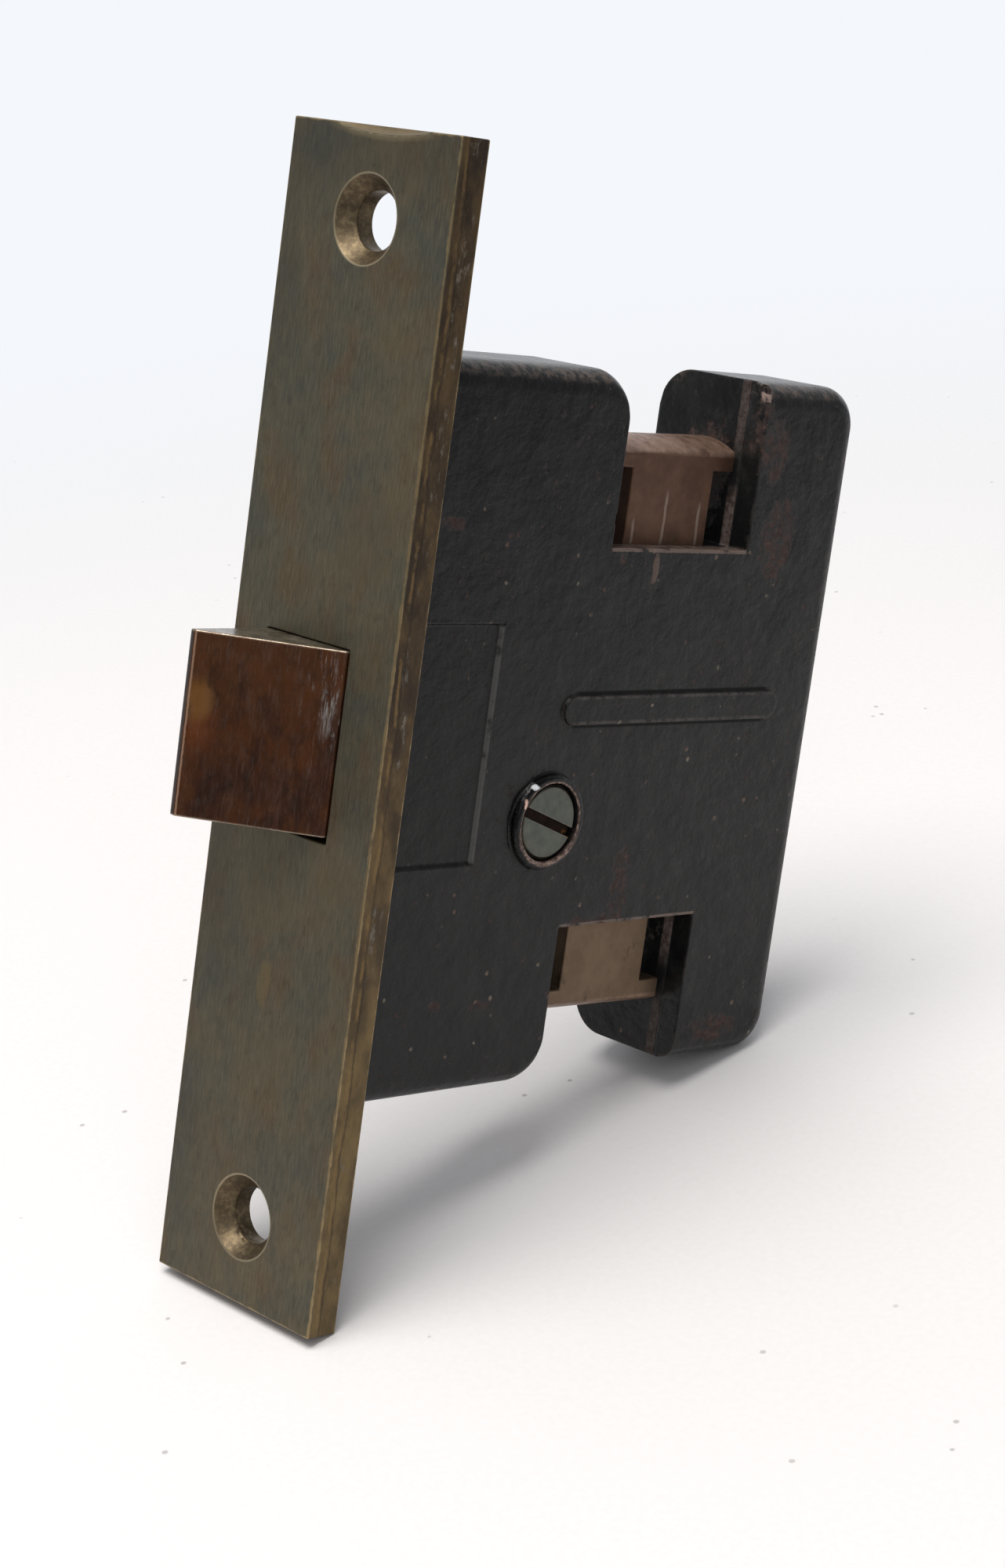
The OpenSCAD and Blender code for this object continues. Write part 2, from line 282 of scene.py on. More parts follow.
def bake(obj):
    """Turns the object's modifiers into its mesh."""
    bpy.context.view_layer.update()
    graph = bpy.context.evaluated_depsgraph_get()
    mesh = bpy.data.meshes.new_from_object(obj.evaluated_get(graph))
    old = obj.data
    obj.modifiers.clear()
    obj.data = mesh
    bpy.data.meshes.remove(old)


def drop(obj):
    mesh = obj.data
    bpy.data.objects.remove(obj)
    bpy.data.meshes.remove(mesh)


def combine(obj, operation, *tools):
    for tool in tools:
        step = obj.modifiers.new("combine", "BOOLEAN")
        step.operation = operation
        step.solver = "EXACT"
        step.object = tool
        bake(obj)
        drop(tool)
    return obj


def cut(obj, *tools):
    return combine(obj, "DIFFERENCE", *tools)


def add(obj, *tools):
    return combine(obj, "UNION", *tools)


def tidy(obj, near):
    """Joins points that lie near each other, and takes out faces that share all their points."""
    bm = bmesh.new()
    bm.from_mesh(obj.data)
    bmesh.ops.remove_doubles(bm, verts=bm.verts, dist=near)
    bmesh.ops.dissolve_degenerate(bm, edges=bm.edges, dist=near)
    stacks = {}
    for face in bm.faces:
        stacks.setdefault(frozenset(face.verts), []).append(face)
    doubled = [face for stack in stacks.values() if len(stack) > 1 for face in stack]
    bmesh.ops.delete(bm, geom=doubled, context="FACES")
    for loose, context in ((bm.edges, "EDGES"), (bm.verts, "VERTS")):
        bmesh.ops.delete(bm, geom=[part for part in loose if not part.link_faces], context=context)
    bm.to_mesh(obj.data)
    bm.free()


def merge_flat(obj):
    """Joins faces that lie in one plane, so that no seam between them is left."""
    bm = bmesh.new()
    bm.from_mesh(obj.data)
    bmesh.ops.remove_doubles(bm, verts=bm.verts, dist=0.001)
    bmesh.ops.dissolve_limit(bm, angle_limit=math.radians(1), verts=bm.verts, edges=bm.edges)
    bm.to_mesh(obj.data)
    bm.free()


def soften(obj, width, segments=3, angle=30):
    """Rounds the edges sharper than an angle in degrees."""
    tidy(obj, JOIN_BEFORE)
    bevel = obj.modifiers.new("edges", "BEVEL")
    bevel.limit_method = "ANGLE"
    bevel.angle_limit = math.radians(angle)
    bevel.width = width
    bevel.segments = segments
    bevel.use_clamp_overlap = False
    bevel.loop_slide = False
    bake(obj)


def finish_piece(obj, name, body, node, material):
    """Hands a finished piece to the frame, in metres."""
    tidy(obj, JOIN_LAST)
    for face in obj.data.polygons:
        face.use_smooth = True
    obj.data.set_sharp_from_angle(angle=math.radians(SHARP))
    normals = obj.modifiers.new("normals", "WEIGHTED_NORMAL")
    normals.keep_sharp = True
    bake(obj)
    obj.name = name
    obj.data.name = name
    obj.data.transform(Matrix.Scale(MM, 4))
    obj.data.materials.clear()
    obj.data.materials.append(MATERIALS[material])
    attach(obj, body)
    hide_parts(node)
    return obj


# ---- Materials ----


FADE_ENDS = ("From Min", "From Max", "To Min", "To Max")


def feed(socket, value):
    """Gives a socket a number, a colour or another socket. None leaves it as it is."""
    if isinstance(value, bpy.types.NodeSocket):
        socket.id_data.links.new(value, socket)
    elif hasattr(value, "__len__") and len(value) == 3 and len(socket.default_value) == 4:
        socket.default_value = (*value, 1)
    elif value is not None:
        socket.default_value = value


def new_node(tree, kind, inputs=(), **settings):
    node = tree.nodes.new("ShaderNode" + kind)
    for name, value in settings.items():
        setattr(node, name, value)
    for name, value in dict(inputs).items():
        feed(node.inputs[name], value)
    return node


class Graph:
    """The nodes of one material. Places are in millimetres of the object's own space."""

    def __init__(self, name):
        self.material = bpy.data.materials.new(name)
        self.material.use_nodes = True
        self.tree = self.material.node_tree
        self.shader = self.tree.nodes["Principled BSDF"]
        coords = self.node("TexCoord")
        inputs = {0: coords.outputs["Object"], "Scale": 1 / MM}
        self.place = self.node("VectorMath", inputs, operation="SCALE").outputs[0]
        self.x, self.y, self.z = self.node("SeparateXYZ", {0: self.place}).outputs

    def node(self, kind, inputs=(), **settings):
        return new_node(self.tree, kind, inputs, **settings)

    def math(self, operation, a, b=0.0):
        return self.node("Math", {0: a, 1: b}, operation=operation).outputs[0]

    def times(self, a, b):
        return self.math("MULTIPLY", a, b)

    def plus(self, a, b):
        return self.math("ADD", a, b)

    def minus(self, a, b):
        return self.math("SUBTRACT", a, b)

    def vector(self, operation, a, b=None, output=0):
        return self.node("VectorMath", {0: a, 1: b}, operation=operation).outputs[output]

    def stretched(self, stretch):
        return self.vector("MULTIPLY", self.place, stretch)

    def noise(self, size, detail=4.0, rough=0.55, stretch=(1, 1, 1), bend=0.0, seed=0.0):
        """Noise with lumps of about size millimetres, shorter along an axis stretched by more."""
        inputs = {"Vector": self.stretched(stretch), "W": seed, "Scale": 1 / size}
        inputs |= {"Detail": detail, "Roughness": rough, "Distortion": bend}
        return self.node("TexNoise", inputs, noise_dimensions="4D").outputs["Fac"]

    def cells(self, size):
        inputs = {"Vector": self.stretched((1, 1, 1)), "Scale": 1 / size}
        return self.node("TexVoronoi", inputs).outputs["Distance"]

    def rise(self, value, low, high):
        """0 at low, 1 at high, smooth between. high may be the smaller."""
        ends = (low, high, 0, 1) if low <= high else (high, low, 1, 0)
        inputs = dict(zip(FADE_ENDS, ends), Value=value)
        return self.node("MapRange", inputs, interpolation_type="SMOOTHSTEP").outputs["Result"]

    def patchy(self, low, high, *of_noise, **more):
        """0 and 1 in patches: noise that is 0 below low and 1 above high."""
        return self.rise(self.noise(*of_noise, **more), low, high)

    def mix(self, share, a, b):
        return self.node("Mix", {"Factor": share, 6: a, 7: b}, data_type="RGBA").outputs[2]

    def blend(self, share, a, b):
        return self.node("Mix", {0: share, 2: a, 3: b}).outputs[0]

    def tint(self, colour, mask, share, tone):
        """The colour, turned towards the tone by share where the mask is 1."""
        return self.mix(self.times(mask, share), colour, tone)

    def both(self, *masks):
        return reduce(self.times, masks)

    def either(self, *masks):
        return reduce(lambda a, b: self.math("MAXIMUM", a, b), masks)

    def near(self, centre, size, ragged=0.35, grain=1.2, blur=0.4):
        """1 at a place, falling to 0 at about size from it, with a ragged outline."""
        step = self.vector("DIVIDE", self.vector("SUBTRACT", self.place, centre), size)
        length = self.vector("LENGTH", step, output="Value")
        lumps = self.times(self.minus(self.noise(grain, 5), 0.5), ragged * 4)
        return self.rise(self.plus(length, lumps), 1.1, 1.1 - blur)

    def span(self, value, low, high, blur):
        """1 where a value lies between two numbers, with soft ends."""
        above = self.rise(value, low - blur, low + blur)
        return self.both(above, self.rise(value, high + blur, high - blur))

    def reach(self, value):
        """How far a value is from 0, either way."""
        return self.math("ABSOLUTE", value)

    def length(self, a, b):
        """Length of a step that goes a one way and b across it."""
        squares = [self.math("POWER", value, 2.0) for value in (a, b)]
        return self.math("SQRT", self.plus(*squares))

    def from_screw(self):
        """Distance from the cover screw's middle line."""
        x, z = COVER_SCREW
        return self.length(self.minus(self.x, x), self.minus(self.z, z))

    def wander(self, value, size, depth, stretch=(1, 1, 1), seed=1.0):
        """The value, made to wander by about depth either way."""
        wave = self.minus(self.noise(size, 6, 0.7, stretch=stretch, seed=seed), 0.5)
        return self.plus(value, self.times(wave, depth * 4))

    def edges(self, radius):
        """1 along sharp edges, whichever way the piece lies."""
        bevel = self.node("Bevel", {"Radius": radius * MM}, samples=6).outputs[0]
        flat = self.node("NewGeometry").outputs["Normal"]
        return self.rise(self.vector("DOT_PRODUCT", bevel, flat, "Value"), 0.985, 0.9)

    def relief(self, height, depth, under=None):
        """A bump whose height, from 0 to 1, stands for depth millimetres."""
        inputs = {"Distance": depth * MM, "Height": height, "Normal": under}
        return self.node("Bump", inputs).outputs[0]

    def surface(self, colour, roughness, metallic=0.0, normal=None, specular=None):
        named = {"Base Color": colour, "Roughness": roughness, "Metallic": metallic}
        named |= {"Normal": normal, "Specular IOR Level": specular}
        for name, value in named.items():
            feed(self.shader.inputs[name], value)
        return self.material


# Colours, some in pairs, dark and light. Black enamel and cast iron
RUST = ((0.032, 0.017, 0.013), (0.11, 0.062, 0.048))
SCRAPED_IRON = ((0.06, 0.036, 0.026), (0.16, 0.125, 0.11))
ENAMEL = ((0.004, 0.004, 0.0042), (0.0105, 0.0103, 0.0102))
ENAMEL_DULL = (0.034, 0.033, 0.032)
ENAMEL_EDGE = (0.075, 0.056, 0.047)
ENAMEL_RUBBED = (0.105, 0.078, 0.062)
DUST = (0.11, 0.1, 0.09)
CHIPS = ((0.1, 0.05, 0.035), (0.19, 0.165, 0.12))
CHIP_BARE = (0.26, 0.185, 0.16)
# Near black, for painted shade and painted shadow
PAINTED_SHADE = (0.001, 0.001, 0.001)
BOSS_RIM = ((0.07, 0.038, 0.03), (0.33, 0.23, 0.19))
NOTCH_EDGE = (0.17, 0.12, 0.1)
NOTCH_STREAK = (0.13, 0.085, 0.065)
PANEL_FLOOR = (0.0035, 0.0035, 0.0033)
# A painted highlight on the panel's slope
PANEL_SLOPE_HIGHLIGHT = (0.11, 0.108, 0.102)
# Brown dirt and a painted highlight on the raised bar's edges
BAR_DIRT_AND_HIGHLIGHT = (0.075, 0.062, 0.055)
# The front's bronze
OLIVE = ((0.124, 0.102, 0.06), (0.08, 0.08, 0.062))
FRONT_BROWN = (0.118, 0.078, 0.041)
BRUSH_LINE = (0.2, 0.168, 0.108)
MOTTLE_DARK = (0.06, 0.049, 0.034)
MOTTLE_LIGHT = (0.19, 0.155, 0.1)
FRONT_SPECK = (0.025, 0.021, 0.017)
STAIN_GOLD = (0.22, 0.15, 0.06)
STAIN_BROWN = (0.13, 0.095, 0.05)
LOWER_BROWN = (0.03, 0.02, 0.012)
# Painted shade on the front face's back half
SHADE_GREEN = (0.045, 0.053, 0.05)
END_BROWN = (0.04, 0.035, 0.028)
# Worn bronze and a painted highlight along the front's outer edges
RIM_WORN_HIGHLIGHT = (0.33, 0.24, 0.12)
HOLLOW_GOLD = (0.3, 0.24, 0.14)
SINK = ((0.085, 0.062, 0.036), (0.17, 0.125, 0.07))
SINK_EDGE = (0.38, 0.31, 0.2)
SIDE = ((0.04, 0.027, 0.017), (0.115, 0.074, 0.034))
SIDE_LOW = ((0.075, 0.053, 0.026), (0.165, 0.115, 0.052))
# A painted highlight, then a painted shade line, along the front's sides
SIDE_EDGE_HIGHLIGHT = (0.19, 0.12, 0.05)
SIDE_SHADE_LINE = (0.025, 0.018, 0.013)
SIDE_CRUST = (0.33, 0.3, 0.25)
# The bolt's bronze
BOLT_BASE = ((0.042, 0.017, 0.01), (0.11, 0.035, 0.01))
BOLT_UPPER = (0.135, 0.048, 0.014)
BOLT_GLOW = (0.23, 0.06, 0.013)
BOLT_AMBER = (0.29, 0.128, 0.03)
BOLT_VEIL = (0.09, 0.056, 0.045)
BOLT_SOOT = (0.022, 0.012, 0.009)
BOLT_LINES = (0.2, 0.13, 0.1)
BOLT_SCRATCH = (0.42, 0.4, 0.38)
BOLT_SCRAPED = (0.46, 0.44, 0.42)
BOLT_TIP = (0.06, 0.05, 0.045)
BOLT_TIP_LINE = (0.5, 0.3, 0.2)
BOLT_ENDS = ((0.13, 0.105, 0.074), (0.3, 0.26, 0.2))
BOLT_EDGE = (0.5, 0.32, 0.24)
# The slide's bronze
SLIDE_UPPER = ((0.08, 0.04, 0.025), (0.14, 0.075, 0.046))
SLIDE_LOWER = ((0.13, 0.085, 0.052), (0.185, 0.125, 0.08))
SLIDE_TOP = (0.5, 0.33, 0.245)
SLIDE_STAIN = (0.028, 0.017, 0.013)
SLIDE_LINE = (0.3, 0.235, 0.19)
SLIDE_EDGE = (0.24, 0.17, 0.125)
# Screws and plain metal
SCREW_HEAD = ((0.062, 0.07, 0.06), (0.115, 0.122, 0.102))
HEAD_RUST = (0.1, 0.05, 0.032)
HEAD_SPOT = (0.33, 0.15, 0.055)
HEAD_RIM = (0.3, 0.22, 0.18)
GUM = ((0.014, 0.012, 0.009), (0.055, 0.045, 0.032))
# Brown dirt and painted shade inside the screw's slot
SLOT_DIRT_AND_SHADE = ((0.02, 0.012, 0.009), (0.045, 0.026, 0.02))
STEEL = ((0.075, 0.085, 0.078), (0.125, 0.135, 0.12))
STEEL_RUST = (0.09, 0.055, 0.036)
CAST_BRONZE = ((0.2, 0.12, 0.055), (0.36, 0.23, 0.11))
WIRE = ((0.2, 0.2, 0.2), (0.34, 0.34, 0.33))


def black_enamel(name, patches, dress=None):
    """Old black enamel over cast iron, rubbed grey along edges and rusted in patches."""
    g = Graph(name)
    cloud = g.noise(7, 5, 0.6)
    base = g.mix(g.rise(cloud, 0.3, 0.7), *ENAMEL)
    thick = g.patchy(0.4, 0.6, 14, 3, seed=2)
    fleck = g.both(g.patchy(0.6, 0.65, 1.1, 6, 0.7, seed=16), thick)
    worn_edge = g.both(g.edges(0.5), g.patchy(0.45, 0.56, 2.0, 6, 0.65, seed=5))
    spots = [g.near(centre, size) for centre, size in patches]
    patch = g.both(g.either(*spots), g.patchy(0.4, 0.62, 1.4, 7, 0.78, seed=3))
    rust = g.either(g.times(fleck, 0.8), patch)
    tone = g.mix(g.patchy(0.35, 0.68, 0.8, 6, 0.7, seed=8), *RUST)
    colour = g.tint(base, rust, 0.92, tone)
    dust = g.patchy(0.7, 0.74, 0.5, 3, 0.6, seed=17)
    colour = g.tint(colour, dust, 0.55, DUST)
    dull = g.patchy(0.5, 0.68, 2.6, 7, 0.72, seed=20)
    dull = g.both(dull, g.rise(g.x, 5.0, 50.0))
    colour = g.tint(colour, dull, 0.34, ENAMEL_DULL)
    colour = g.tint(colour, worn_edge, 0.75, ENAMEL_EDGE)
    chips = g.rise(g.wander(g.cells(2.6), 0.45, 0.07, seed=34), 0.14, 0.06)
    # More chips low down
    crowd = g.noise(5, 5, 0.65, seed=35)
    crowd = g.plus(crowd, g.times(g.rise(g.z, -12.0, -30.0), 0.06))
    chips = g.both(chips, g.rise(crowd, 0.49, 0.56))
    chip_tone = g.mix(g.patchy(0.4, 0.6, 0.7, 4, 0.6, seed=38), *CHIPS)
    colour = g.tint(colour, chips, 0.85, chip_tone)
    # The case's long rounded edges are rubbed brown
    outer = g.rise(g.reach(g.z), 39.3, 40.3)
    rear = g.rise(g.x, CASE_DEPTH - 2.6, CASE_DEPTH - 1.2)
    rounded = g.rise(g.reach(g.y), 4.6, 6.2)
    rubbed = g.patchy(0.46, 0.58, 1.0, 6, 0.74, seed=30)
    rubbed = g.both(g.either(outer, rear), rounded, rubbed)
    colour = g.tint(colour, rubbed, 0.6, ENAMEL_RUBBED)
    rough = g.blend(rust, g.blend(cloud, 0.2, 0.36), 0.75)
    if dress is not None:
        colour, rough = dress(g, colour, rough)
    skin = g.relief(g.noise(2.6, 6, 0.58, seed=4), 0.22)
    grain = g.relief(g.noise(0.6, 4, 0.6), 0.026, skin)
    pits = g.relief(g.minus(1.0, rust), 0.04, grain)
    return g.surface(colour, rough, normal=pits, specular=0.22)


def dress_boss(g, colour, rough):
    """The boss around the screw: glossy painted shade in front of it, a copper rim and two painted
    glints.
    """
    radius = g.from_screw()
    # Painted shade on the boss's side towards the front, with a glossy finish
    glossy_shade = g.rise(g.wander(g.x, 3, 0.4), 28.5, 25.5)
    glossy_shade = g.both(g.span(radius, 4.8, 6.2, 0.15), glossy_shade)
    colour = g.mix(glossy_shade, colour, PAINTED_SHADE)
    rough = g.blend(glossy_shade, rough, 0.08)
    outer = g.wander(radius, 1.2, 0.14, seed=23)
    rim = g.both(g.span(outer, 4.5, 4.72, 0.1), g.rise(g.y, -8.9, -9.0))
    low = g.rise(g.z, -9.6, -12.2)
    below = g.both(g.span(outer, 4.5, 4.98, 0.12), low, g.rise(g.y, -8.5, -8.8))
    copper = g.mix(g.patchy(0.4, 0.62, 0.5, 5, 0.7, seed=24), *BOSS_RIM)
    colour = g.tint(colour, g.either(rim, below), 0.85, copper)
    # Two painted glints on the boss's rim
    for centre, size, tone in BOSS_GLINTS:
        colour = g.mix(g.near(centre, size, 0.25, 0.5), colour, tone)
    return colour, rough


def dress_panel(g, colour):
    """The shallow panel: darker inside, a painted highlight on its upright slope, a painted shadow
    line above it.
    """
    along = g.span(g.z, PANEL_Z[0], PANEL_Z[1], 0.3)
    inside = g.both(g.rise(g.x, PANEL_X + 0.1, PANEL_X - 0.2), along)
    colour = g.tint(colour, inside, 0.6, PANEL_FLOOR)
    # A painted highlight on the upright slope at the panel's rear edge
    slope_highlight = g.both(g.span(g.x, PANEL_X, PANEL_X + 0.5, 0.1), along)
    slope_highlight = g.both(slope_highlight, g.patchy(0.34, 0.5, 3.5, 5, 0.6, seed=29))
    colour = g.tint(colour, slope_highlight, 0.7, PANEL_SLOPE_HIGHLIGHT)
    # A painted shadow line along the panel's top edge, broken in patches
    top_shadow = g.span(g.z, PANEL_Z[1] - 0.1, PANEL_Z[1] + 0.55, 0.12)
    top_shadow = g.both(top_shadow, g.rise(g.x, PANEL_X + 0.9, PANEL_X + 0.5))
    top_shadow = g.both(top_shadow, g.patchy(0.36, 0.5, 2.0, 5, 0.6, seed=43))
    return g.tint(colour, top_shadow, 0.9, PAINTED_SHADE)


def dress_bar(g, colour, rough):
    """The raised bar: painted shade along its foot, and brown dirt with a painted highlight along
    its edges.
    """
    off_bar = g.reach(g.minus(g.z, BAR_Z))
    # Painted shade along the bar's foot, where it is also rougher
    foot_shade = g.both(g.span(off_bar, BAR_R, BAR_R + 0.4, 0.12), g.span(g.x, *BAR_X, 0.8))
    colour = g.tint(colour, foot_shade, 0.8, PAINTED_SHADE)
    rough = g.blend(foot_shade, rough, 0.7)
    # Brown dirt and a painted highlight along the bar's edges
    edge_dirt_and_highlight = g.span(off_bar, BAR_R - 0.45, BAR_R - 0.1, 0.12)
    edge_dirt_and_highlight = g.both(edge_dirt_and_highlight, g.span(g.x, *BAR_X, 0.8))
    edge_dirt_and_highlight = g.both(edge_dirt_and_highlight, g.patchy(0.42, 0.55, 1.2, 6, 0.7, seed=39))
    return g.tint(colour, edge_dirt_and_highlight, 0.6, BAR_DIRT_AND_HIGHLIGHT), rough


def dress_cover(g, colour, rough):
    """Wear, painted shade and painted highlights that only the cover has."""
    colour, rough = dress_boss(g, colour, rough)
    # A thin bare line along the notches' floors
    level = g.reach(g.wander(g.z, 1.5, 0.05, seed=25))
    floor_line = g.both(g.span(level, 21.4, 21.82, 0.06), g.span(g.x, NOTCH_X0, NOTCH_X1, 0.2))
    floor_line = g.both(floor_line, g.patchy(0.36, 0.5, 1.6, 5, 0.6, seed=26))
    colour = g.tint(colour, floor_line, 0.8, NOTCH_EDGE)
    colour = dress_panel(g, colour)
    colour, rough = dress_bar(g, colour, rough)
    chip = g.near((54.7, -7.5, 39.9), (0.5, 0.9, 1.15), 0.35, 0.7)
    colour = g.mix(chip, colour, CHIP_BARE)
    streak = g.near((39.0, -8.2, 19.6), (0.6, 1.0, 1.8), 0.3, 0.8)
    streak = g.both(streak, g.rise(g.y, -8.0, -8.15))
    colour = g.tint(colour, streak, 0.7, NOTCH_STREAK)
    return colour, rough


def dress_body(g, colour, rough):
    """The body's notch walls are scraped bare in a strip beside the cover."""
    side = g.wander(g.y, 1.0, 0.12, seed=27)
    strip = g.span(side, -5.3, -3.9, 0.12)
    strip = g.both(strip, g.span(g.x, NOTCH_X1 - 0.2, NOTCH_X1 + 0.6, 0.1))
    height = g.wander(g.reach(g.z), 2.5, 1.0, seed=28)
    low = g.rise(height, 29.5, 26.0)
    high = g.times(g.rise(height, 31.0, 35.0), 0.38)
    bare = g.mix(g.patchy(0.38, 0.62, 0.8, 6, 0.7, seed=12), *SCRAPED_IRON)
    colour = g.mix(g.both(strip, g.either(low, high)), colour, bare)
    return colour, g.blend(strip, rough, 0.6)


def bronze_side(g):
    """The front's narrow sides: brown, a golden painted highlight, a painted shade line, pale
    crusts.
    """
    dirt = g.patchy(0.36, 0.66, 3.5, 6, 0.65, stretch=(1, 1, 0.5), seed=6)
    side = g.mix(dirt, *SIDE)
    lower = g.mix(dirt, *SIDE_LOW)
    side = g.mix(g.rise(g.z, 10.0, -45.0), side, lower)
    across = g.wander(g.x, 3, 0.4, (1, 1, 0.6), 31)
    # A golden painted highlight along the rounded front edge, broken in patches
    edge_highlight = g.patchy(0.4, 0.55, 3, 6, 0.7, seed=32)
    edge_highlight = g.both(g.span(across, -3.15, -2.75, 0.12), edge_highlight)
    side = g.tint(side, edge_highlight, 0.7, SIDE_EDGE_HIGHLIGHT)
    # A painted shade line just behind it
    shade_line = g.span(across, -2.6, -2.4, 0.1)
    side = g.tint(side, shade_line, 0.6, SIDE_SHADE_LINE)
    patchy = g.patchy(0.45, 0.6, 6, 4, 0.6, stretch=(1, 1, 0.6), seed=33)
    crust = g.patchy(0.53, 0.64, 0.9, 7, 0.74, stretch=(1, 1, 0.35), seed=9)
    crust = g.both(crust, g.span(across, -2.5, -0.9, 0.3), patchy)
    return g.tint(side, crust, 0.75, SIDE_CRUST), crust


def bronze_face(g, brush, mottle):
    """The front's outer face: olive and brown, brushed along its length and stained, with painted
    shade on its back half.
    """
    broad = g.noise(9, 6, 0.62, bend=0.5)
    drift = g.noise(5, 5, 0.58, stretch=(1, 1, 0.6), seed=3)
    olive = g.mix(g.rise(broad, 0.34, 0.66), *OLIVE)
    brown = g.tint(olive, g.rise(drift, 0.47, 0.68), 0.8, FRONT_BROWN)
    lined = g.tint(brown, g.rise(brush, 0.38, 0.68), 0.42, BRUSH_LINE)
    lined = g.tint(lined, g.rise(mottle, 0.5, 0.68), 0.42, MOTTLE_DARK)
    lined = g.tint(lined, g.rise(mottle, 0.42, 0.3), 0.4, MOTTLE_LIGHT)
    specks = g.patchy(0.67, 0.74, 0.7, 4, 0.6, seed=11)
    dull = g.tint(lined, specks, 0.6, FRONT_SPECK)
    stain = g.near((-4.0, 1.2, -27.5), (3.0, 1.1, 3.2), 0.45, 1.6)
    dull = g.tint(dull, stain, 0.4, STAIN_GOLD)
    for centre, size in FRONT_STAINS:
        dull = g.tint(dull, g.near(centre, size, 0.25, 2.0), 0.35, STAIN_BROWN)
    dull = g.tint(dull, g.rise(g.z, 15.0, -25.0), 0.14, LOWER_BROWN)
    # Painted shade, in patches, on the half of the face towards the back (+Y)
    back_half_shade = g.patchy(0.36, 0.6, 8, 5, 0.6, stretch=(1, 1, 0.5), seed=41)
    back_half_shade = g.both(g.rise(g.y, 2.0, 12.0), back_half_shade)
    dull = g.tint(dull, back_half_shade, 0.38, SHADE_GREEN)
    dark_end = g.rise(g.wander(g.z, 6, 2.0, seed=42), 54.0, 61.0)
    return g.tint(dull, dark_end, 0.25, END_BROWN)


def tarnished_front(name):
    """Rolled bronze, gone olive and brown, worn where its edges rub, with a painted highlight
    along them.
    """
    g = Graph(name)
    brush = g.noise(0.22, 5, 0.62, stretch=(1, 1, 0.1))
    mottle = g.noise(1.3, 7, 0.72, stretch=(1, 1, 0.6), seed=13)
    side, crust = bronze_side(g)
    on_side = g.rise(g.x, -3.85, -3.65)
    colour = g.mix(on_side, bronze_face(g, brush, mottle), side)
    # A thin line runs along the outer edges, broken by dirt: worn bronze and a painted highlight
    to_side = g.minus(FRONT_HALF_W, g.reach(g.y))
    to_end = g.minus(FRONT_HALF_H, g.reach(g.z))
    to_face = g.plus(g.x, FRONT_T)
    to_back = g.times(g.x, -1.0)
    rim = g.math("MINIMUM", to_side, to_end)
    corner = g.math("MAXIMUM", g.math("MINIMUM", to_face, to_back), rim)
    bright = g.rise(g.wander(corner, 1.2, 0.2, (1, 1, 0.5)), 0.26, 0.06)
    colour = g.tint(colour, bright, 0.75, RIM_WORN_HIGHLIGHT)
    hollow = g.near((-4.0, -1.0, 63.6), (1.6, 8.5, 1.6), 0.05)
    colour = g.tint(colour, hollow, 0.45, HOLLOW_GOLD)
    to_hole = g.length(g.minus(g.reach(g.z), FIXING_Z), g.y)
    in_sink = g.rise(to_hole, COUNTERSINK_R + 0.1, COUNTERSINK_R - 0.1)
    in_sink = g.both(in_sink, g.rise(g.x, -3.99, -3.9))
    pocked = g.patchy(0.42, 0.66, 0.7, 6, 0.7, seed=14)
    colour = g.mix(in_sink, colour, g.mix(pocked, *SINK))
    sink_edge = g.span(to_hole, COUNTERSINK_R - 0.05, COUNTERSINK_R + 0.14, 0.06)
    sink_edge = g.both(sink_edge, g.rise(g.x, -3.5, -3.8))
    colour = g.tint(colour, sink_edge, 0.65, SINK_EDGE)
    rough = g.blend(bright, g.blend(mottle, 0.34, 0.54), 0.3)
    crust = g.both(crust, on_side)
    rough = g.blend(crust, rough, 0.85)
    lines = g.relief(brush, 0.008)
    worn = g.relief(mottle, 0.03, lines)
    return g.surface(colour, rough, 0.8, g.relief(crust, 0.08, worn))


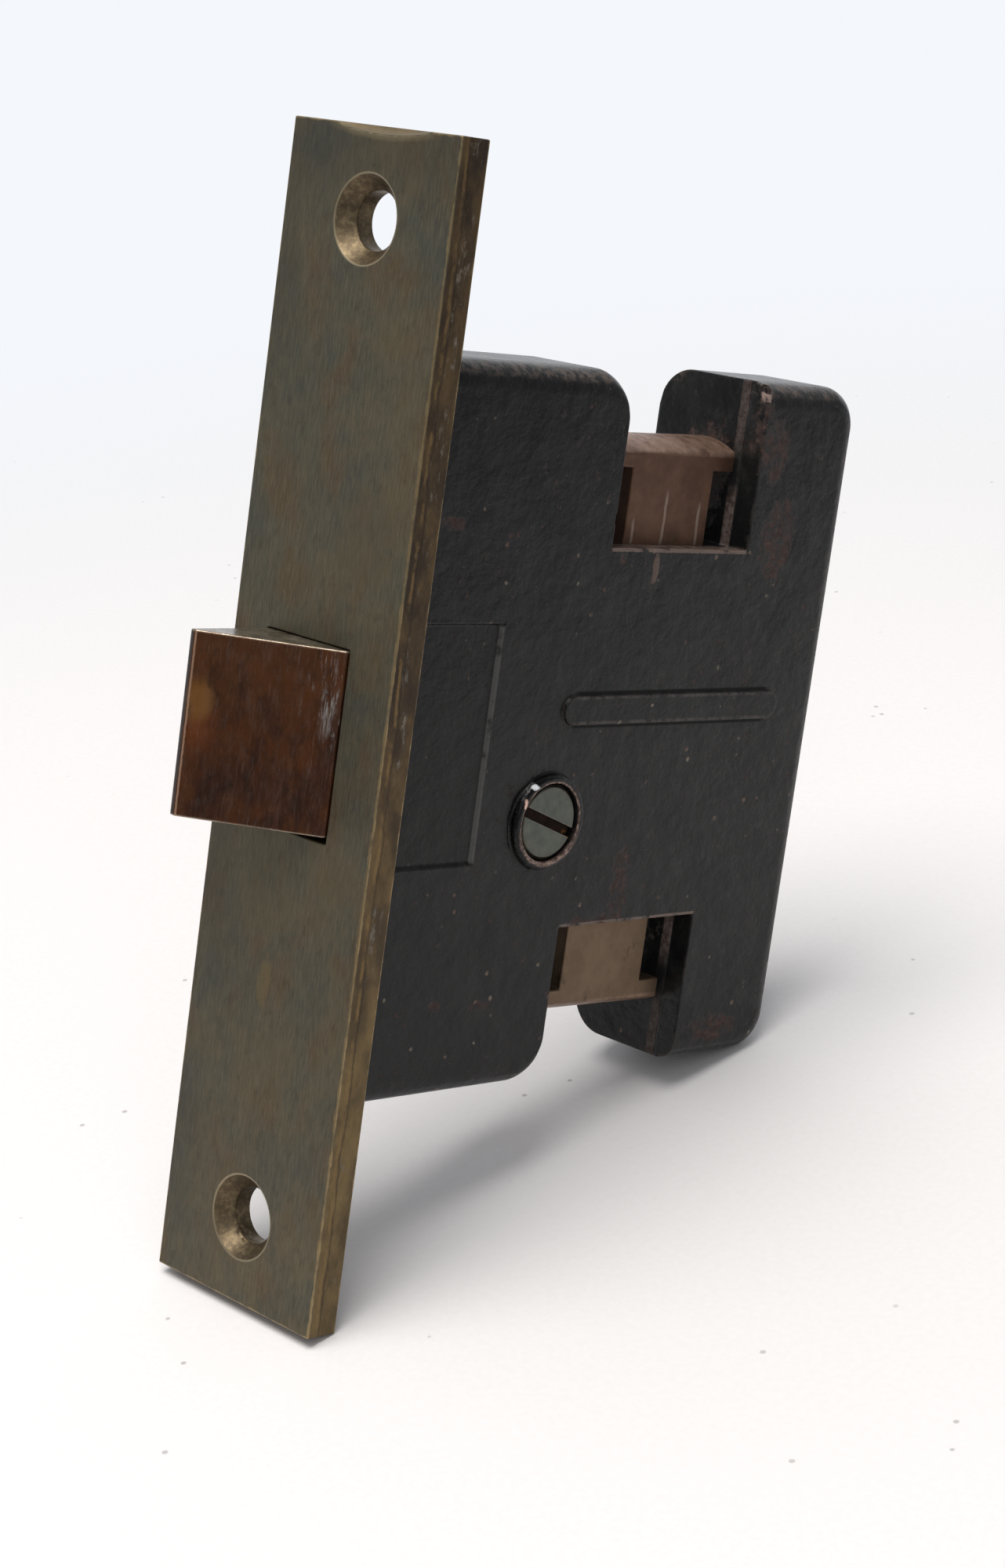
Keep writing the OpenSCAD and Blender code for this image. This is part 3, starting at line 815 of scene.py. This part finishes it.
def copper_bolt(name):
    """The bolt's bronze, rubbed red-brown on the bevel, with copper-bright edges."""
    g = Graph(name)
    cloud = g.noise(3.6, 7, 0.7, stretch=(1, 1, 0.75), bend=0.3)
    base = g.mix(g.rise(cloud, 0.32, 0.68), *BOLT_BASE)
    base = g.tint(base, g.rise(g.z, -2.0, 8.0), 0.45, BOLT_UPPER)
    glow = g.near((-13.4, 5.6, -0.6), (2.3, 2.6, 3.8), 0.2, 2.2, 1.3)
    warm = g.tint(base, glow, 0.75, BOLT_GLOW)
    amber = g.near((-13.6, 5.9, 2.6), (1.8, 2.1, 3.0), 0.1, 1.2, 0.7)
    warm = g.tint(warm, amber, 0.72, BOLT_AMBER)
    veil = g.patchy(0.46, 0.66, 0.9, 7, 0.76, stretch=(1, 1, 0.3), seed=18)
    warm = g.tint(warm, veil, 0.3, BOLT_VEIL)
    soot = g.patchy(0.52, 0.68, 1.6, 6, 0.7, stretch=(1, 1, 0.6), seed=19)
    warm = g.tint(warm, soot, 0.6, BOLT_SOOT)
    fine = g.patchy(0.52, 0.72, 0.2, 5, 0.64, stretch=(1, 1, 0.09), seed=15)
    warm = g.tint(warm, fine, 0.3, BOLT_LINES)
    scratch = g.patchy(0.55, 0.68, 0.42, 6, 0.72, stretch=(1, 1, 0.14), seed=4)
    root = g.both(g.rise(g.x, -7.6, -5.0), g.rise(g.z, -5.0, 6.0))
    pale = g.both(scratch, g.plus(g.times(root, 0.9), 0.09))
    colour = g.tint(warm, pale, 0.8, BOLT_SCRATCH)
    streaks = g.patchy(0.48, 0.6, 0.36, 6, 0.74, stretch=(1, 1, 0.09), seed=36)
    scraped = g.both(streaks, g.near((-5.0, -4.6, 4.8), (0.95, 1.15, 5.2), 0.25, 1.4, 1.0))
    colour = g.tint(colour, scraped, 0.9, BOLT_SCRAPED)
    tip = g.rise(g.y, BOLT_TIP_Y + 0.1, BOLT_TIP_Y + 0.3)
    colour = g.mix(tip, colour, BOLT_TIP)
    tip_line = g.wander(g.y, 0.8, 0.04, seed=37)
    tip_line = g.span(tip_line, BOLT_TIP_Y - 0.14, BOLT_TIP_Y + 0.05, 0.05)
    colour = g.tint(colour, tip_line, 0.85, BOLT_TIP_LINE)
    # Top and bottom are grey-brown where the hole rubs them
    above = g.minus(BOLT_Z1, g.z)
    below = g.minus(g.z, BOLT_Z0)
    end_face = g.rise(g.math("MINIMUM", above, below), 0.22, 0.08)
    rubbed = g.patchy(0.35, 0.65, 2.2, 6, 0.68, seed=6)
    colour = g.mix(end_face, colour, g.mix(rubbed, *BOLT_ENDS))
    edge = g.both(g.edges(0.45), g.patchy(0.32, 0.46, 1.0, 5, 0.6, seed=9))
    colour = g.tint(colour, edge, 0.8, BOLT_EDGE)
    rough = g.blend(pale, g.blend(veil, 0.22, 0.4), 0.5)
    lines = g.relief(g.noise(0.4, 5, 0.65, stretch=(1, 1, 0.12)), 0.01)
    worn = g.relief(g.noise(1.8, 6, 0.62, seed=2), 0.045, lines)
    return g.surface(colour, rough, 0.7, worn)


def rubbed_slide(name):
    """The slide's cast bronze, red-brown above and tan below, with three rubbed lines."""
    g = Graph(name)
    cloud = g.noise(3.2, 5, 0.62)
    upper = g.mix(g.rise(cloud, 0.3, 0.7), *SLIDE_UPPER)
    lower = g.mix(g.rise(cloud, 0.3, 0.7), *SLIDE_LOWER)
    base = g.mix(g.rise(g.z, 4.0, -4.0), upper, lower)
    outer = g.rise(g.reach(g.z), 31.9, 32.5)
    top = g.both(outer, g.patchy(0.24, 0.7, 2.4, 6, 0.68, stretch=(1.3, 1, 1), seed=3))
    base = g.tint(base, top, 0.62, SLIDE_TOP)
    stain = g.patchy(0.56, 0.7, 1.8, 6, 0.65, stretch=(1, 1, 0.5), seed=5)
    base = g.tint(base, stain, 0.6, SLIDE_STAIN)
    # Three lines that the notch's edge has rubbed
    wobble = g.times(g.minus(g.noise(3, 3, seed=21), 0.5), 0.7)
    along = g.plus(g.x, wobble)
    on_face = g.both(g.rise(g.y, SLIDE_Y0 + 0.3, SLIDE_Y0 + 0.1), g.rise(g.z, 21.4, 22.2))
    for x, end in ((37.7, 25.2), (42.8, 28.4), (48.6, 27.2)):
        line = g.rise(g.reach(g.minus(along, x)), 0.3, 0.1)
        line = g.both(line, on_face, g.rise(g.z, end, end - 1.5))
        base = g.tint(base, line, 0.65, SLIDE_LINE)
    edge = g.both(g.edges(0.4), g.patchy(0.44, 0.6, 1.2, 5, 0.6, seed=9))
    colour = g.tint(base, edge, 0.6, SLIDE_EDGE)
    rough = g.blend(top, g.blend(cloud, 0.42, 0.58), 0.42)
    cast = g.relief(g.noise(0.8, 5, 0.6), 0.025)
    return g.surface(colour, rough, 0.7, cast)


def slotted_head(name):
    """The cover screw: grey steel, its slot dark with brown dirt and painted shade."""
    g = Graph(name)
    cloud = g.patchy(0.32, 0.68, 1.4, 6, 0.66)
    colour = g.mix(cloud, *SCREW_HEAD)
    radius = g.from_screw()
    rust = g.both(g.rise(radius, 3.2, 4.2), g.patchy(0.5, 0.62, 0.8, 6, 0.7, seed=4))
    colour = g.tint(colour, rust, 0.7, HEAD_RUST)
    gum = g.mix(g.patchy(0.4, 0.6, 0.9, 4, seed=40), *GUM)
    colour = g.mix(g.rise(radius, 3.92, 4.1), colour, gum)
    # Inside the slot and below the face: brown dirt and painted shade
    dirt = g.rise(g.y, SCREW_FACE_Y + 0.12, SCREW_FACE_Y + 0.3)
    colour = g.mix(dirt, colour, g.mix(cloud, *SLOT_DIRT_AND_SHADE))
    rust_spot = g.near((30.2, -8.6, -10.5), (0.8, 0.8, 0.6), 0.3, 0.5)
    colour = g.mix(rust_spot, colour, HEAD_SPOT)
    rim = g.both(g.edges(0.2), g.rise(g.y, SCREW_FACE_Y + 0.4, SCREW_FACE_Y + 0.2))
    colour = g.tint(colour, rim, 0.6, HEAD_RIM)
    grain = g.relief(g.noise(0.4, 6, 0.66), 0.02)
    return g.surface(colour, g.blend(dirt, g.blend(cloud, 0.34, 0.5), 0.85), 0.8, grain)


def plain_metal(name, dark, light, rough_low, rough_high, metallic=0.9, stain=None):
    """Machined or cast metal with a cloudy tarnish, fine grain and worn edges."""
    g = Graph(name)
    cloud = g.noise(2.4, 5, 0.6)
    colour = g.mix(g.rise(cloud, 0.3, 0.7), dark, light)
    if stain is not None:
        spots = g.patchy(0.55, 0.68, 0.9, 6, 0.7, seed=4)
        colour = g.tint(colour, spots, 0.7, stain)
    edge = g.edges(0.25)
    bright = tuple(min(1.0, 1.5 * c) for c in light)
    colour = g.tint(colour, edge, 0.5, bright)
    grain = g.relief(g.noise(0.5, 5, 0.6), 0.015)
    return g.surface(colour, g.blend(cloud, rough_low, rough_high), metallic, grain)


# Places of wear: the middle of each and its half sizes, on the cover along x and z only
COVER_RUST = (
    (59.5, 23.0, 3.0, 5.0),
    (57.0, 33.5, 2.4, 4.0),
    (40.5, -17.6, 1.5, 4.6),
    (37.0, -21.4, 4.4, 0.9),
    (13.0, -29.5, 1.0, 0.8),
    (20.0, -30.0, 1.6, 0.8),
    (61.0, -36.5, 4.5, 1.8),
    (6.2, 24.0, 1.9, 0.9),
    (3.5, 8.5, 2.2, 1.2),
    (33.5, 21.0, 0.7, 1.2),
)
COVER_PATCHES = [((x, COVER_Y, z), (half_x, 2.0, half_z)) for x, z, half_x, half_z in COVER_RUST]
COVER_PATCHES += [((55.0, -7.6, 36.0), (1.0, 2.0, 4.6)), ((25.0, -9.1, -14.2), (2.6, 1.2, 0.8))]
BODY_PATCHES = (
    ((54.3, 0.0, 30.0), (1.0, 4.0, 6.0)),
    ((44.0, 8.6, 6.0), (9.0, 2.0, 3.0)),
    ((66.0, 8.6, -31.0), (2.5, 2.0, 7.0)),
    ((6.0, 8.6, 20.0), (3.0, 2.0, 9.0)),
    ((24.0, 8.6, -37.0), (8.0, 2.0, 2.2)),
)
# Painted glints on the boss: the middle of each, its half sizes and its colour
BOSS_GLINTS = (
    ((22.3, -8.85, -6.9), (0.34, 0.4, 0.75), (0.75, 0.5, 0.4)),
    ((23.6, -8.85, -5.0), (0.6, 0.4, 0.4), (0.85, 0.88, 0.9)),
)
FRONT_STAINS = (
    ((-4.0, -6.0, 22.0), (2.0, 5.0, 6.0)),
    ((-4.0, 3.5, -57.5), (2.0, 1.6, 1.6)),
    ((-4.0, 0.8, -58.5), (2.0, 0.9, 1.4)),
    ((-4.0, -8.0, -14.0), (2.0, 3.5, 3.0)),
)

MATERIALS = {
    "body_iron": black_enamel("body_iron", BODY_PATCHES, dress_body),
    "cover_iron": black_enamel("cover_iron", COVER_PATCHES, dress_cover),
    "front_bronze": tarnished_front("front_bronze"),
    "bolt_bronze": copper_bolt("bolt_bronze"),
    "slide_bronze": rubbed_slide("slide_bronze"),
    "cover_screw": slotted_head("cover_screw"),
    "screw_steel": plain_metal("screw_steel", *STEEL, 0.36, 0.52, 0.8, STEEL_RUST),
    "cast_bronze": plain_metal("cast_bronze", *CAST_BRONZE, 0.38, 0.55),
    "spring_steel": plain_metal("spring_steel", *WIRE, 0.26, 0.42),
}


# ---- Case ----


def side_view(inset, top, notch, floor):
    """Outline of half the case, from the front along one edge to the rear corner."""
    arm_r = max(ARM_CORNER_R - 0.4 * abs(inset), 1.2)
    rear_r = max(CORNER_R - inset, 0.2)
    h, rear = top - inset, CASE_DEPTH - inset
    outline = [(notch, h)]
    outline += arc(NOTCH_X0 - notch - arm_r, h - arm_r, arm_r, arm_r, 90, 0)
    outline += [(NOTCH_X0 - notch, floor), (NOTCH_X1 + notch, floor), (NOTCH_X1 + notch, h)]
    outline += arc(rear - rear_r, h - rear_r, rear_r, rear_r, 90, 0)
    return outline


def whole_view(inset, notch, floor):
    """The case from the side: the upper half and then the lower one, turned over."""
    upper = side_view(inset, CASE_TOP, notch, floor)
    lower = side_view(inset, -CASE_BOTTOM, notch, floor)
    return upper + [(x, -z) for x, z in reversed(lower)]


def case_outline(inset):
    """The long edges and the rear move in; the notches stay."""
    return whole_view(inset, 0.0, NOTCH_FLOOR)


def edge_layers(outer, inner, radius, steps=10):
    """Layers of the case's outline that round its outer edges from outer towards inner."""
    sign = 1 if inner > outer else -1
    layers = [(outer, case_outline(radius))]
    # The first step is deeper than the bevel that later rounds the notches' edges
    first = math.acos(1 - FIRST_STEP / radius)
    for i in range(steps):
        turn = first + (math.pi / 2 - first) * i / steps
        depth = radius * (1 - math.cos(turn))
        layers.append((outer + sign * depth, case_outline(radius * (1 - math.sin(turn)))))
    if abs(inner - outer) - radius > FIRST_STEP:
        layers.append((outer + sign * radius, case_outline(0)))
    layers.append((inner, case_outline(0)))
    return layers


def cavity():
    """Room inside the case, open towards the cover."""
    return prism("y", whole_view(CASE_WALL, CASE_WALL, INNER_FLOOR), PARTING_Y - OVER, CAVITY_Y)


def bolt_room(y0, y1):
    return block((-0.02, BOLT_ROOM_X), (y0, y1), BOLT_ROOM_Z)


def slide_gates():
    """The two gaps in the notches' floors that the slide runs through."""
    across = (SLIDE_X0 - RUN, SLIDE_X1 + RUN)
    through = (PARTING_Y - OVER, SLIDE_Y1 + RUN)
    low, high = INNER_FLOOR - OVER, NOTCH_FLOOR + OVER
    return [block(across, through, (low, high)), block(across, through, (-high, -low))]


def build_case_shell():
    shell = loft("case_shell", "y", edge_layers(BACK_Y, PARTING_Y, BACK_EDGE_R))
    cut(shell, cavity(), bolt_room(PARTING_Y - OVER, BOLT_ROOM_Y1), *slide_gates())
    for z in (-CASE_SCREW_Z, CASE_SCREW_Z):
        cut(shell, rod("x", (0, z), -INTO, CASE_WALL + INTO, CASE_SCREW_R))
    floor = CAVITY_Y + INTO
    screw_post = cut(
        rod("y", COVER_SCREW, PARTING_Y, floor, SCREW_POST_R),
        rod("y", COVER_SCREW, PARTING_Y - OVER, SCREW_POST_HOLE_Y, SCREW_POST_HOLE_R),
        bolt_room(PARTING_Y - OVER, BOLT_ROOM_Y1),
    )
    pivot = rod("y", (PIVOT_X, 0), PIVOT_END_Y, floor, PIVOT_R)
    sockets = [
        cut(
            rod("y", at, PARTING_Y, floor, DOWEL_R + DOWEL_SOCKET_WALL),
            rod("y", at, PARTING_Y - OVER, PARTING_Y + DOWEL_IN_BODY, DOWEL_R),
        )
        for at in DOWELS
    ]
    stop_z = (SPRING_Z - SPRING_STOP_HALF, SPRING_Z + SPRING_STOP_HALF)
    stop = block((CASE_WALL - 0.02, SPRING_STOP_X), (0, floor), stop_z)
    add(shell, screw_post, pivot, *sockets, stop)
    soften(shell, 0.22, 2)
    return finish_piece(shell, "case_shell", "case", "case_body", "body_iron")


def build_boss():
    """The raised ring around the cover screw, with a rounded rim."""
    rise = COVER_Y - BOSS_Y
    profile = [(0.1, BOSS_FOOT_R + 0.1), (0.0, BOSS_FOOT_R), (-0.5 * rise, BOSS_R + 0.3)]
    profile += [(-0.8 * rise, BOSS_R + 0.16), (-0.95 * rise, BOSS_R), (-rise, BOSS_R - 0.22)]
    layers = [(COVER_Y + y, circle(COVER_SCREW, r, 60)) for y, r in profile]
    return loft("tool", "y", layers)


def build_panel():
    """What the shallow panel beside the front takes away. Its sides slope."""
    layers = []
    for y, grow in ((COVER_Y - 0.5, PANEL_SLOPE_W), (COVER_Y + PANEL_DEPTH, 0.0)):
        x, low, high = PANEL_X + grow, PANEL_Z[0] - 0.6 * grow, PANEL_Z[1] + 0.6 * grow
        layers.append((y, [(-1, low), (x, low), (x, high), (-1, high)]))
    return loft("tool", "y", layers)


def build_cover():
    cover = loft("case_lid", "y", edge_layers(COVER_Y, PARTING_Y, COVER_EDGE_R))
    cut(cover, build_panel())
    cut(cover, bolt_room(BOLT_ROOM_IN_COVER_Y, PARTING_Y + OVER))
    add(cover, build_boss())
    cut(
        cover,
        rod("y", COVER_SCREW, BOSS_Y - OVER, COVER_Y + 1, SCREW_SEAT_R),
        rod("y", COVER_SCREW, COVER_Y, PARTING_Y + OVER, SCREW_HOLE_R),
    )
    for at in DOWELS:
        cut(cover, rod("y", at, PARTING_Y - DOWEL_IN_COVER, PARTING_Y + OVER, DOWEL_R))
    bar = arc(BAR_X[1], BAR_Z, BAR_R, BAR_R, -90, 90)
    bar += arc(BAR_X[0], BAR_Z, BAR_R, BAR_R, 90, 270)
    add(cover, prism("y", bar, COVER_Y - BAR_HEIGHT, COVER_Y + 0.1))
    soften(cover, 0.2, 3)
    tidy(cover, JOIN_AFTER)
    for at, size in COVER_CHIPS:
        cut(cover, pebble(at, size))
    return finish_piece(cover, "case_lid", "case", "case_cover", "cover_iron")


def build_cover_screw():
    slope_in, slope_down = SCREW_HEAD_SLOPE
    head_back = COVER_Y + 1
    profile = [
        (SCREW_HEAD_R - slope_in, SCREW_FACE_Y),
        (SCREW_HEAD_R, SCREW_FACE_Y + slope_down),
        (SCREW_HEAD_R, head_back),
        (SCREW_R, head_back),
        (SCREW_R, SCREW_END_Y),
        (SCREW_TIP_R, SCREW_TIP_Y),
    ]
    layers = [(y, circle(COVER_SCREW, r, 60)) for r, y in profile]
    screw = loft("screw_in_cover", "y", layers)
    across = (-SCREW_SLOT_HALF_W, SCREW_SLOT_HALF_W)
    slot = block((-6, 6), (-SCREW_SLOT_DEPTH, SCREW_SLOT_DEPTH), across)
    slot.data.transform(Matrix.Rotation(math.radians(SCREW_TILT), 4, "Y"))
    slot.data.transform(Matrix.Translation((COVER_SCREW[0], SCREW_FACE_Y, COVER_SCREW[1])))
    cut(screw, slot)
    soften(screw, 0.1, 2)
    return finish_piece(
        screw, "screw_in_cover", "case", "cover_screw", "cover_screw"
    )


# ---- Front ----


def build_front():
    plate = block((-FRONT_T, 0), (-FRONT_HALF_W, FRONT_HALF_W), (-FRONT_HALF_H, FRONT_HALF_H))
    bolt_z = (BOLT_HOLE_Z0, BOLT_HOLE_Z1)
    cut(plate, block((-FRONT_T - OVER, OVER), BOLT_HOLE_Y, bolt_z))
    sink = (-FRONT_T - 0.001, COUNTERSINK_DEPTH - FRONT_T)
    for z in (-FIXING_Z, FIXING_Z):
        cut(
            plate,
            rod("x", (0, z), -FRONT_T - OVER, OVER, FIXING_R),
            rod("x", (0, z), *sink, COUNTERSINK_R, FIXING_R),
        )
    for z in (-CASE_SCREW_Z, CASE_SCREW_Z):
        cut(plate, rod("x", (0, z), CASE_SCREW_HOLE_X, OVER, CASE_SCREW_R))
    cut(plate, scoop(*FRONT_HOLLOW))
    soften(plate, 0.18, 3)
    for at, size in FRONT_NICKS:
        cut(plate, pebble(at, size, 0.15))
    return finish_piece(plate, "front_plate", "case", "front", "front_bronze")


# ---- Bolt and slide ----


def build_bolt():
    outline = [
        (BOLT_REAR_X, BOLT_Y0),
        (BOLT_REAR_X, BOLT_Y1),
        (BOLT_TIP_X, BOLT_Y1),
        (BOLT_TIP_X, BOLT_TIP_Y),
        (-FRONT_T - 0.2, BOLT_Y0),
    ]
    bolt = prism("z", outline, BOLT_Z0, BOLT_Z1)
    tail = (TAIL_Y, 0)
    cut(
        bolt,
        rod("x", tail, BOLT_SPRING_HOLE_X, BOLT_REAR_X + OVER, BOLT_SPRING_HOLE_R),
        rod("x", tail, TAIL_HOLE_X, BOLT_REAR_X, TAIL_R),
    )
    soften(bolt, 0.2, 3)
    return finish_piece(bolt, "latch_bolt", "bolt", "bolt_head", "bolt_bronze")


def tee_section(edge, crown):
    """A tee from its end: flat below and crowned across its thickness."""
    middle = (SLIDE_Y0 + SLIDE_Y1) / 2
    half = (SLIDE_Y1 - SLIDE_Y0) / 2
    outline = [(SLIDE_Y0, TEE_Z0), (SLIDE_Y1, TEE_Z0)]
    for i in range(21):
        t = 1 - i / 10
        outline.append((middle + t * half, edge + (crown - edge) * (1 - t * t)))
    return outline


def build_tee(side):
    """One tee. Its rear end is a little taller, and curves away from the cover."""
    ends = (
        (TEE_X0, tee_section(TEE_EDGE_FRONT, TEE_CROWN_FRONT)),
        (TEE_X1, tee_section(TEE_EDGE_REAR, TEE_TOP)),
    )
    tee = loft("tool", "x", [(x, [(y, side * z) for y, z in section]) for x, section in ends])
    plan = [(TEE_X0 - 1, SLIDE_Y1), (TEE_X0 - 1, SLIDE_Y0), (TEE_X1, SLIDE_Y0)]
    depth = SLIDE_Y1 - SLIDE_Y0 - TEE_CURVE
    plan += arc(TEE_X1 - TEE_CURVE, SLIDE_Y0 + TEE_CURVE, TEE_CURVE, depth, 0, 90)
    return combine(tee, "INTERSECT", prism("z", plan, -40, 40))


def build_slide():
    """A thin web inside the case, and a thick stem with a tee at each end."""
    into_tee = TEE_Z0 + INTO
    slide = block((SLIDE_X0, SLIDE_X1), (SLIDE_Y0, SLIDE_Y1), (-into_tee, into_tee))
    behind = (SLIDE_WEB_Y, SLIDE_Y1 + OVER)
    inside = (-SLIDE_STEM_Z, SLIDE_STEM_Z)
    cut(slide, block((SLIDE_X0 - OVER, SLIDE_X1 + OVER), behind, inside))
    add(slide, build_tee(1), build_tee(-1))
    merge_flat(slide)
    cut(slide, block(CRANK_SLOT_X, (SLIDE_Y0 - OVER, 0), CRANK_SLOT_Z))
    soften(slide, 0.25, 3)
    return finish_piece(slide, "slide_with_tees", "slide", "thumb_slide", "slide_bronze")


# ---- Springs ----


def coil(name, x0, x1, y, z, mean_r, wire_r, turns, per_turn=28, sides=8):
    """A compression spring with its last turn at each end closed up."""
    bm = bmesh.new()
    steps = int(turns * per_turn)
    end = 1 / turns
    closed = 2.1 * wire_r
    free = x1 - x0 - 2 * wire_r - 2 * closed
    rings = []
    for i in range(steps + 1):
        t = i / steps
        if t < end:
            x = x0 + wire_r + closed * t / end
        elif t > 1 - end:
            x = x1 - wire_r - closed * (1 - t) / end
        else:
            x = x0 + wire_r + closed + free * (t - end) / (1 - 2 * end)
        a = 2 * math.pi * turns * t
        out = Vector((0, math.cos(a), math.sin(a)))
        centre = Vector((x, y, z)) + out * mean_r
        ring = []
        for k in range(sides):
            b = 2 * math.pi * k / sides
            along = Vector((wire_r * math.sin(b), 0, 0))
            ring.append(bm.verts.new(centre + out * (wire_r * math.cos(b)) + along))
        rings.append(ring)
    return skin(name, bm, rings)


def build_springs():
    big = coil("yoke_coil", 8.0, 28.0, SPRING_Y, SPRING_Z, mean_r=2.88, wire_r=0.43, turns=9)
    finish_piece(big, "yoke_coil", "case", "yoke_spring", "spring_steel")
    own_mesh(big)
    small = coil("bolt_coil", -5.0, 13.0, TAIL_Y, 0.0, mean_r=2.54, wire_r=0.37, turns=9)
    finish_piece(small, "bolt_coil", "yoke_frame", "bolt_spring", "spring_steel")
    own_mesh(small)


# Pieces inside the case keep their CAD mesh, with rounded edges and a finish
CAD_FINISHES = {
    "cast_bronze": ("rocker", "rocker_washer", "yoke", "tail_washer"),
    "screw_steel": (
        "crank_pin",
        "spring_guide_pin",
        "spring_seat",
        "bolt_tail",
        "tail_nut",
        "cover_dowel_front",
        "cover_dowel_rear",
        "front_screw_upper",
        "front_screw_lower",
    ),
}


def dress_cad_node(node, finish):
    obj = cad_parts[node]
    obj.data.materials.clear()
    obj.data.materials.append(MATERIALS[finish])
    bevel = obj.modifiers.new("edges", "BEVEL")
    bevel.limit_method = "ANGLE"
    bevel.angle_limit = math.radians(40)
    bevel.width = 0.12 * MM
    bevel.segments = 2


# ---- Stage ----

# The lock leans back on the front's lower rear edge and the case's lower rear corner
LEAN = math.radians(18.87)
FLOOR_R = 0.45
FLOOR_X = 0.035
FLOOR_GAP = 0.00005
# The room is palest behind the lock. The fade's start and end, and its strength at each
ROOM_PALEST = (0.6, 0.75, -0.25)
ROOM_FADE = (-0.3, 0.85, 0.33, 0.97)
ROOM_COLOUR = (0.935, 0.96, 1.0, 1)
# Each lamp's place, what it points at, its size, power and colour
LAMPS = {
    "key": ((-0.44, 0.0, 0.81), (0.02, 0, 0), 0.72, 9.3, (1.0, 0.98, 0.95)),
    "fill": ((-0.5, -0.6, 0.35), (0.03, 0, 0), 0.6, 0.8, (0.97, 0.98, 1.0)),
}
CAMERA_LENS = 71.86
CAMERA_PLACE = (-224.44, -240.62, 58.85)
CAMERA_FORWARD = (0.71078, 0.67863, -0.18507)
CAMERA_UP = (0.03913, 0.22455, 0.97368)


def floor_material():
    g = Graph("floor_paper")
    paper = g.mix(g.patchy(0.3, 0.7, 0.9, 6, 0.6), (0.80, 0.775, 0.77), (0.82, 0.80, 0.795))
    specks = g.both(g.rise(g.cells(6), 0.07, 0.04), g.patchy(0.5, 0.6, 30, 3))
    colour = g.tint(paper, specks, 0.5, (0.2, 0.17, 0.16))
    g.surface(colour, 0.85, normal=g.relief(g.noise(0.7, 5), 0.02))
    # The floor fades out, and isn't seen from below
    shown = g.rise(g.length(g.x, g.y), 400.0, 140.0)
    shown = g.both(shown, g.minus(1.0, g.node("NewGeometry").outputs["Backfacing"]))
    clear = g.node("BsdfTransparent").outputs[0]
    blend = g.node("MixShader", {0: shown, 1: clear, 2: g.shader.outputs[0]}).outputs[0]
    feed(g.tree.nodes["Material Output"].inputs["Surface"], blend)
    return g.material


def build_floor():
    bm = bmesh.new()
    bmesh.ops.create_circle(bm, cap_ends=True, segments=128, radius=FLOOR_R)
    floor = as_object("floor", bm)
    for face in floor.data.polygons:
        if face.normal.z < 0:
            floor.data.flip_normals()
    floor.data.materials.append(floor_material())
    turn = Matrix.Rotation(-LEAN, 4, "Y")
    middle = Vector((FLOOR_X, 0, FLOOR_X * math.tan(LEAN) - FRONT_HALF_H * MM - FLOOR_GAP))
    floor.matrix_world = Matrix.Translation(middle) @ turn


def build_world():
    """A pale room, lighter behind the lock and darker on the cover's side."""
    world = bpy.data.worlds.new("studio")
    scene.world = world
    world.use_nodes = True
    tree = world.node_tree
    coords = new_node(tree, "TexCoord").outputs["Generated"]
    tilt = new_node(tree, "VectorMath", {0: coords, 1: ROOM_PALEST}, operation="DOT_PRODUCT")
    inputs = dict(zip(FADE_ENDS, ROOM_FADE), Value=tilt.outputs["Value"])
    fade = new_node(tree, "MapRange", inputs, interpolation_type="SMOOTHSTEP")
    background = tree.nodes["Background"]
    feed(background.inputs["Color"], ROOM_COLOUR)
    feed(background.inputs["Strength"], fade.outputs["Result"])


def add_lamp(name, place, target, size, power, colour):
    data = bpy.data.lights.new(name, "AREA")
    data.shape = "DISK"
    data.size = size
    data.energy = power
    data.color = colour
    lamp = bpy.data.objects.new(name, data)
    scene.collection.objects.link(lamp)
    lamp.location = place
    aim = Vector(target) - Vector(place)
    lamp.rotation_mode = "QUATERNION"
    lamp.rotation_quaternion = aim.to_track_quat("-Z", "Y")


def build_camera():
    """Stands where the picture was taken from, with its slight roll."""
    data = bpy.data.cameras.new("camera")
    data.sensor_width = 36.0
    data.lens = CAMERA_LENS
    data.clip_start = 0.01
    data.clip_end = 50.0
    camera = bpy.data.objects.new("camera", data)
    scene.collection.objects.link(camera)
    forward = Vector(CAMERA_FORWARD).normalized()
    right = forward.cross(Vector(CAMERA_UP)).normalized()
    up = right.cross(forward)
    turn = Matrix((right, up, -forward)).transposed().to_4x4()
    camera.matrix_world = Matrix.Translation(Vector(CAMERA_PLACE) * MM) @ turn
    scene.camera = camera


build_case_shell()
build_cover()
build_cover_screw()
build_front()
build_bolt()
build_slide()
build_springs()
for finish, nodes in CAD_FINISHES.items():
    for node in nodes:
        dress_cad_node(node, finish)
build_floor()
build_world()
for name, lamp in LAMPS.items():
    add_lamp(name, *lamp)
build_camera()
scene.view_settings.view_transform = "Standard"
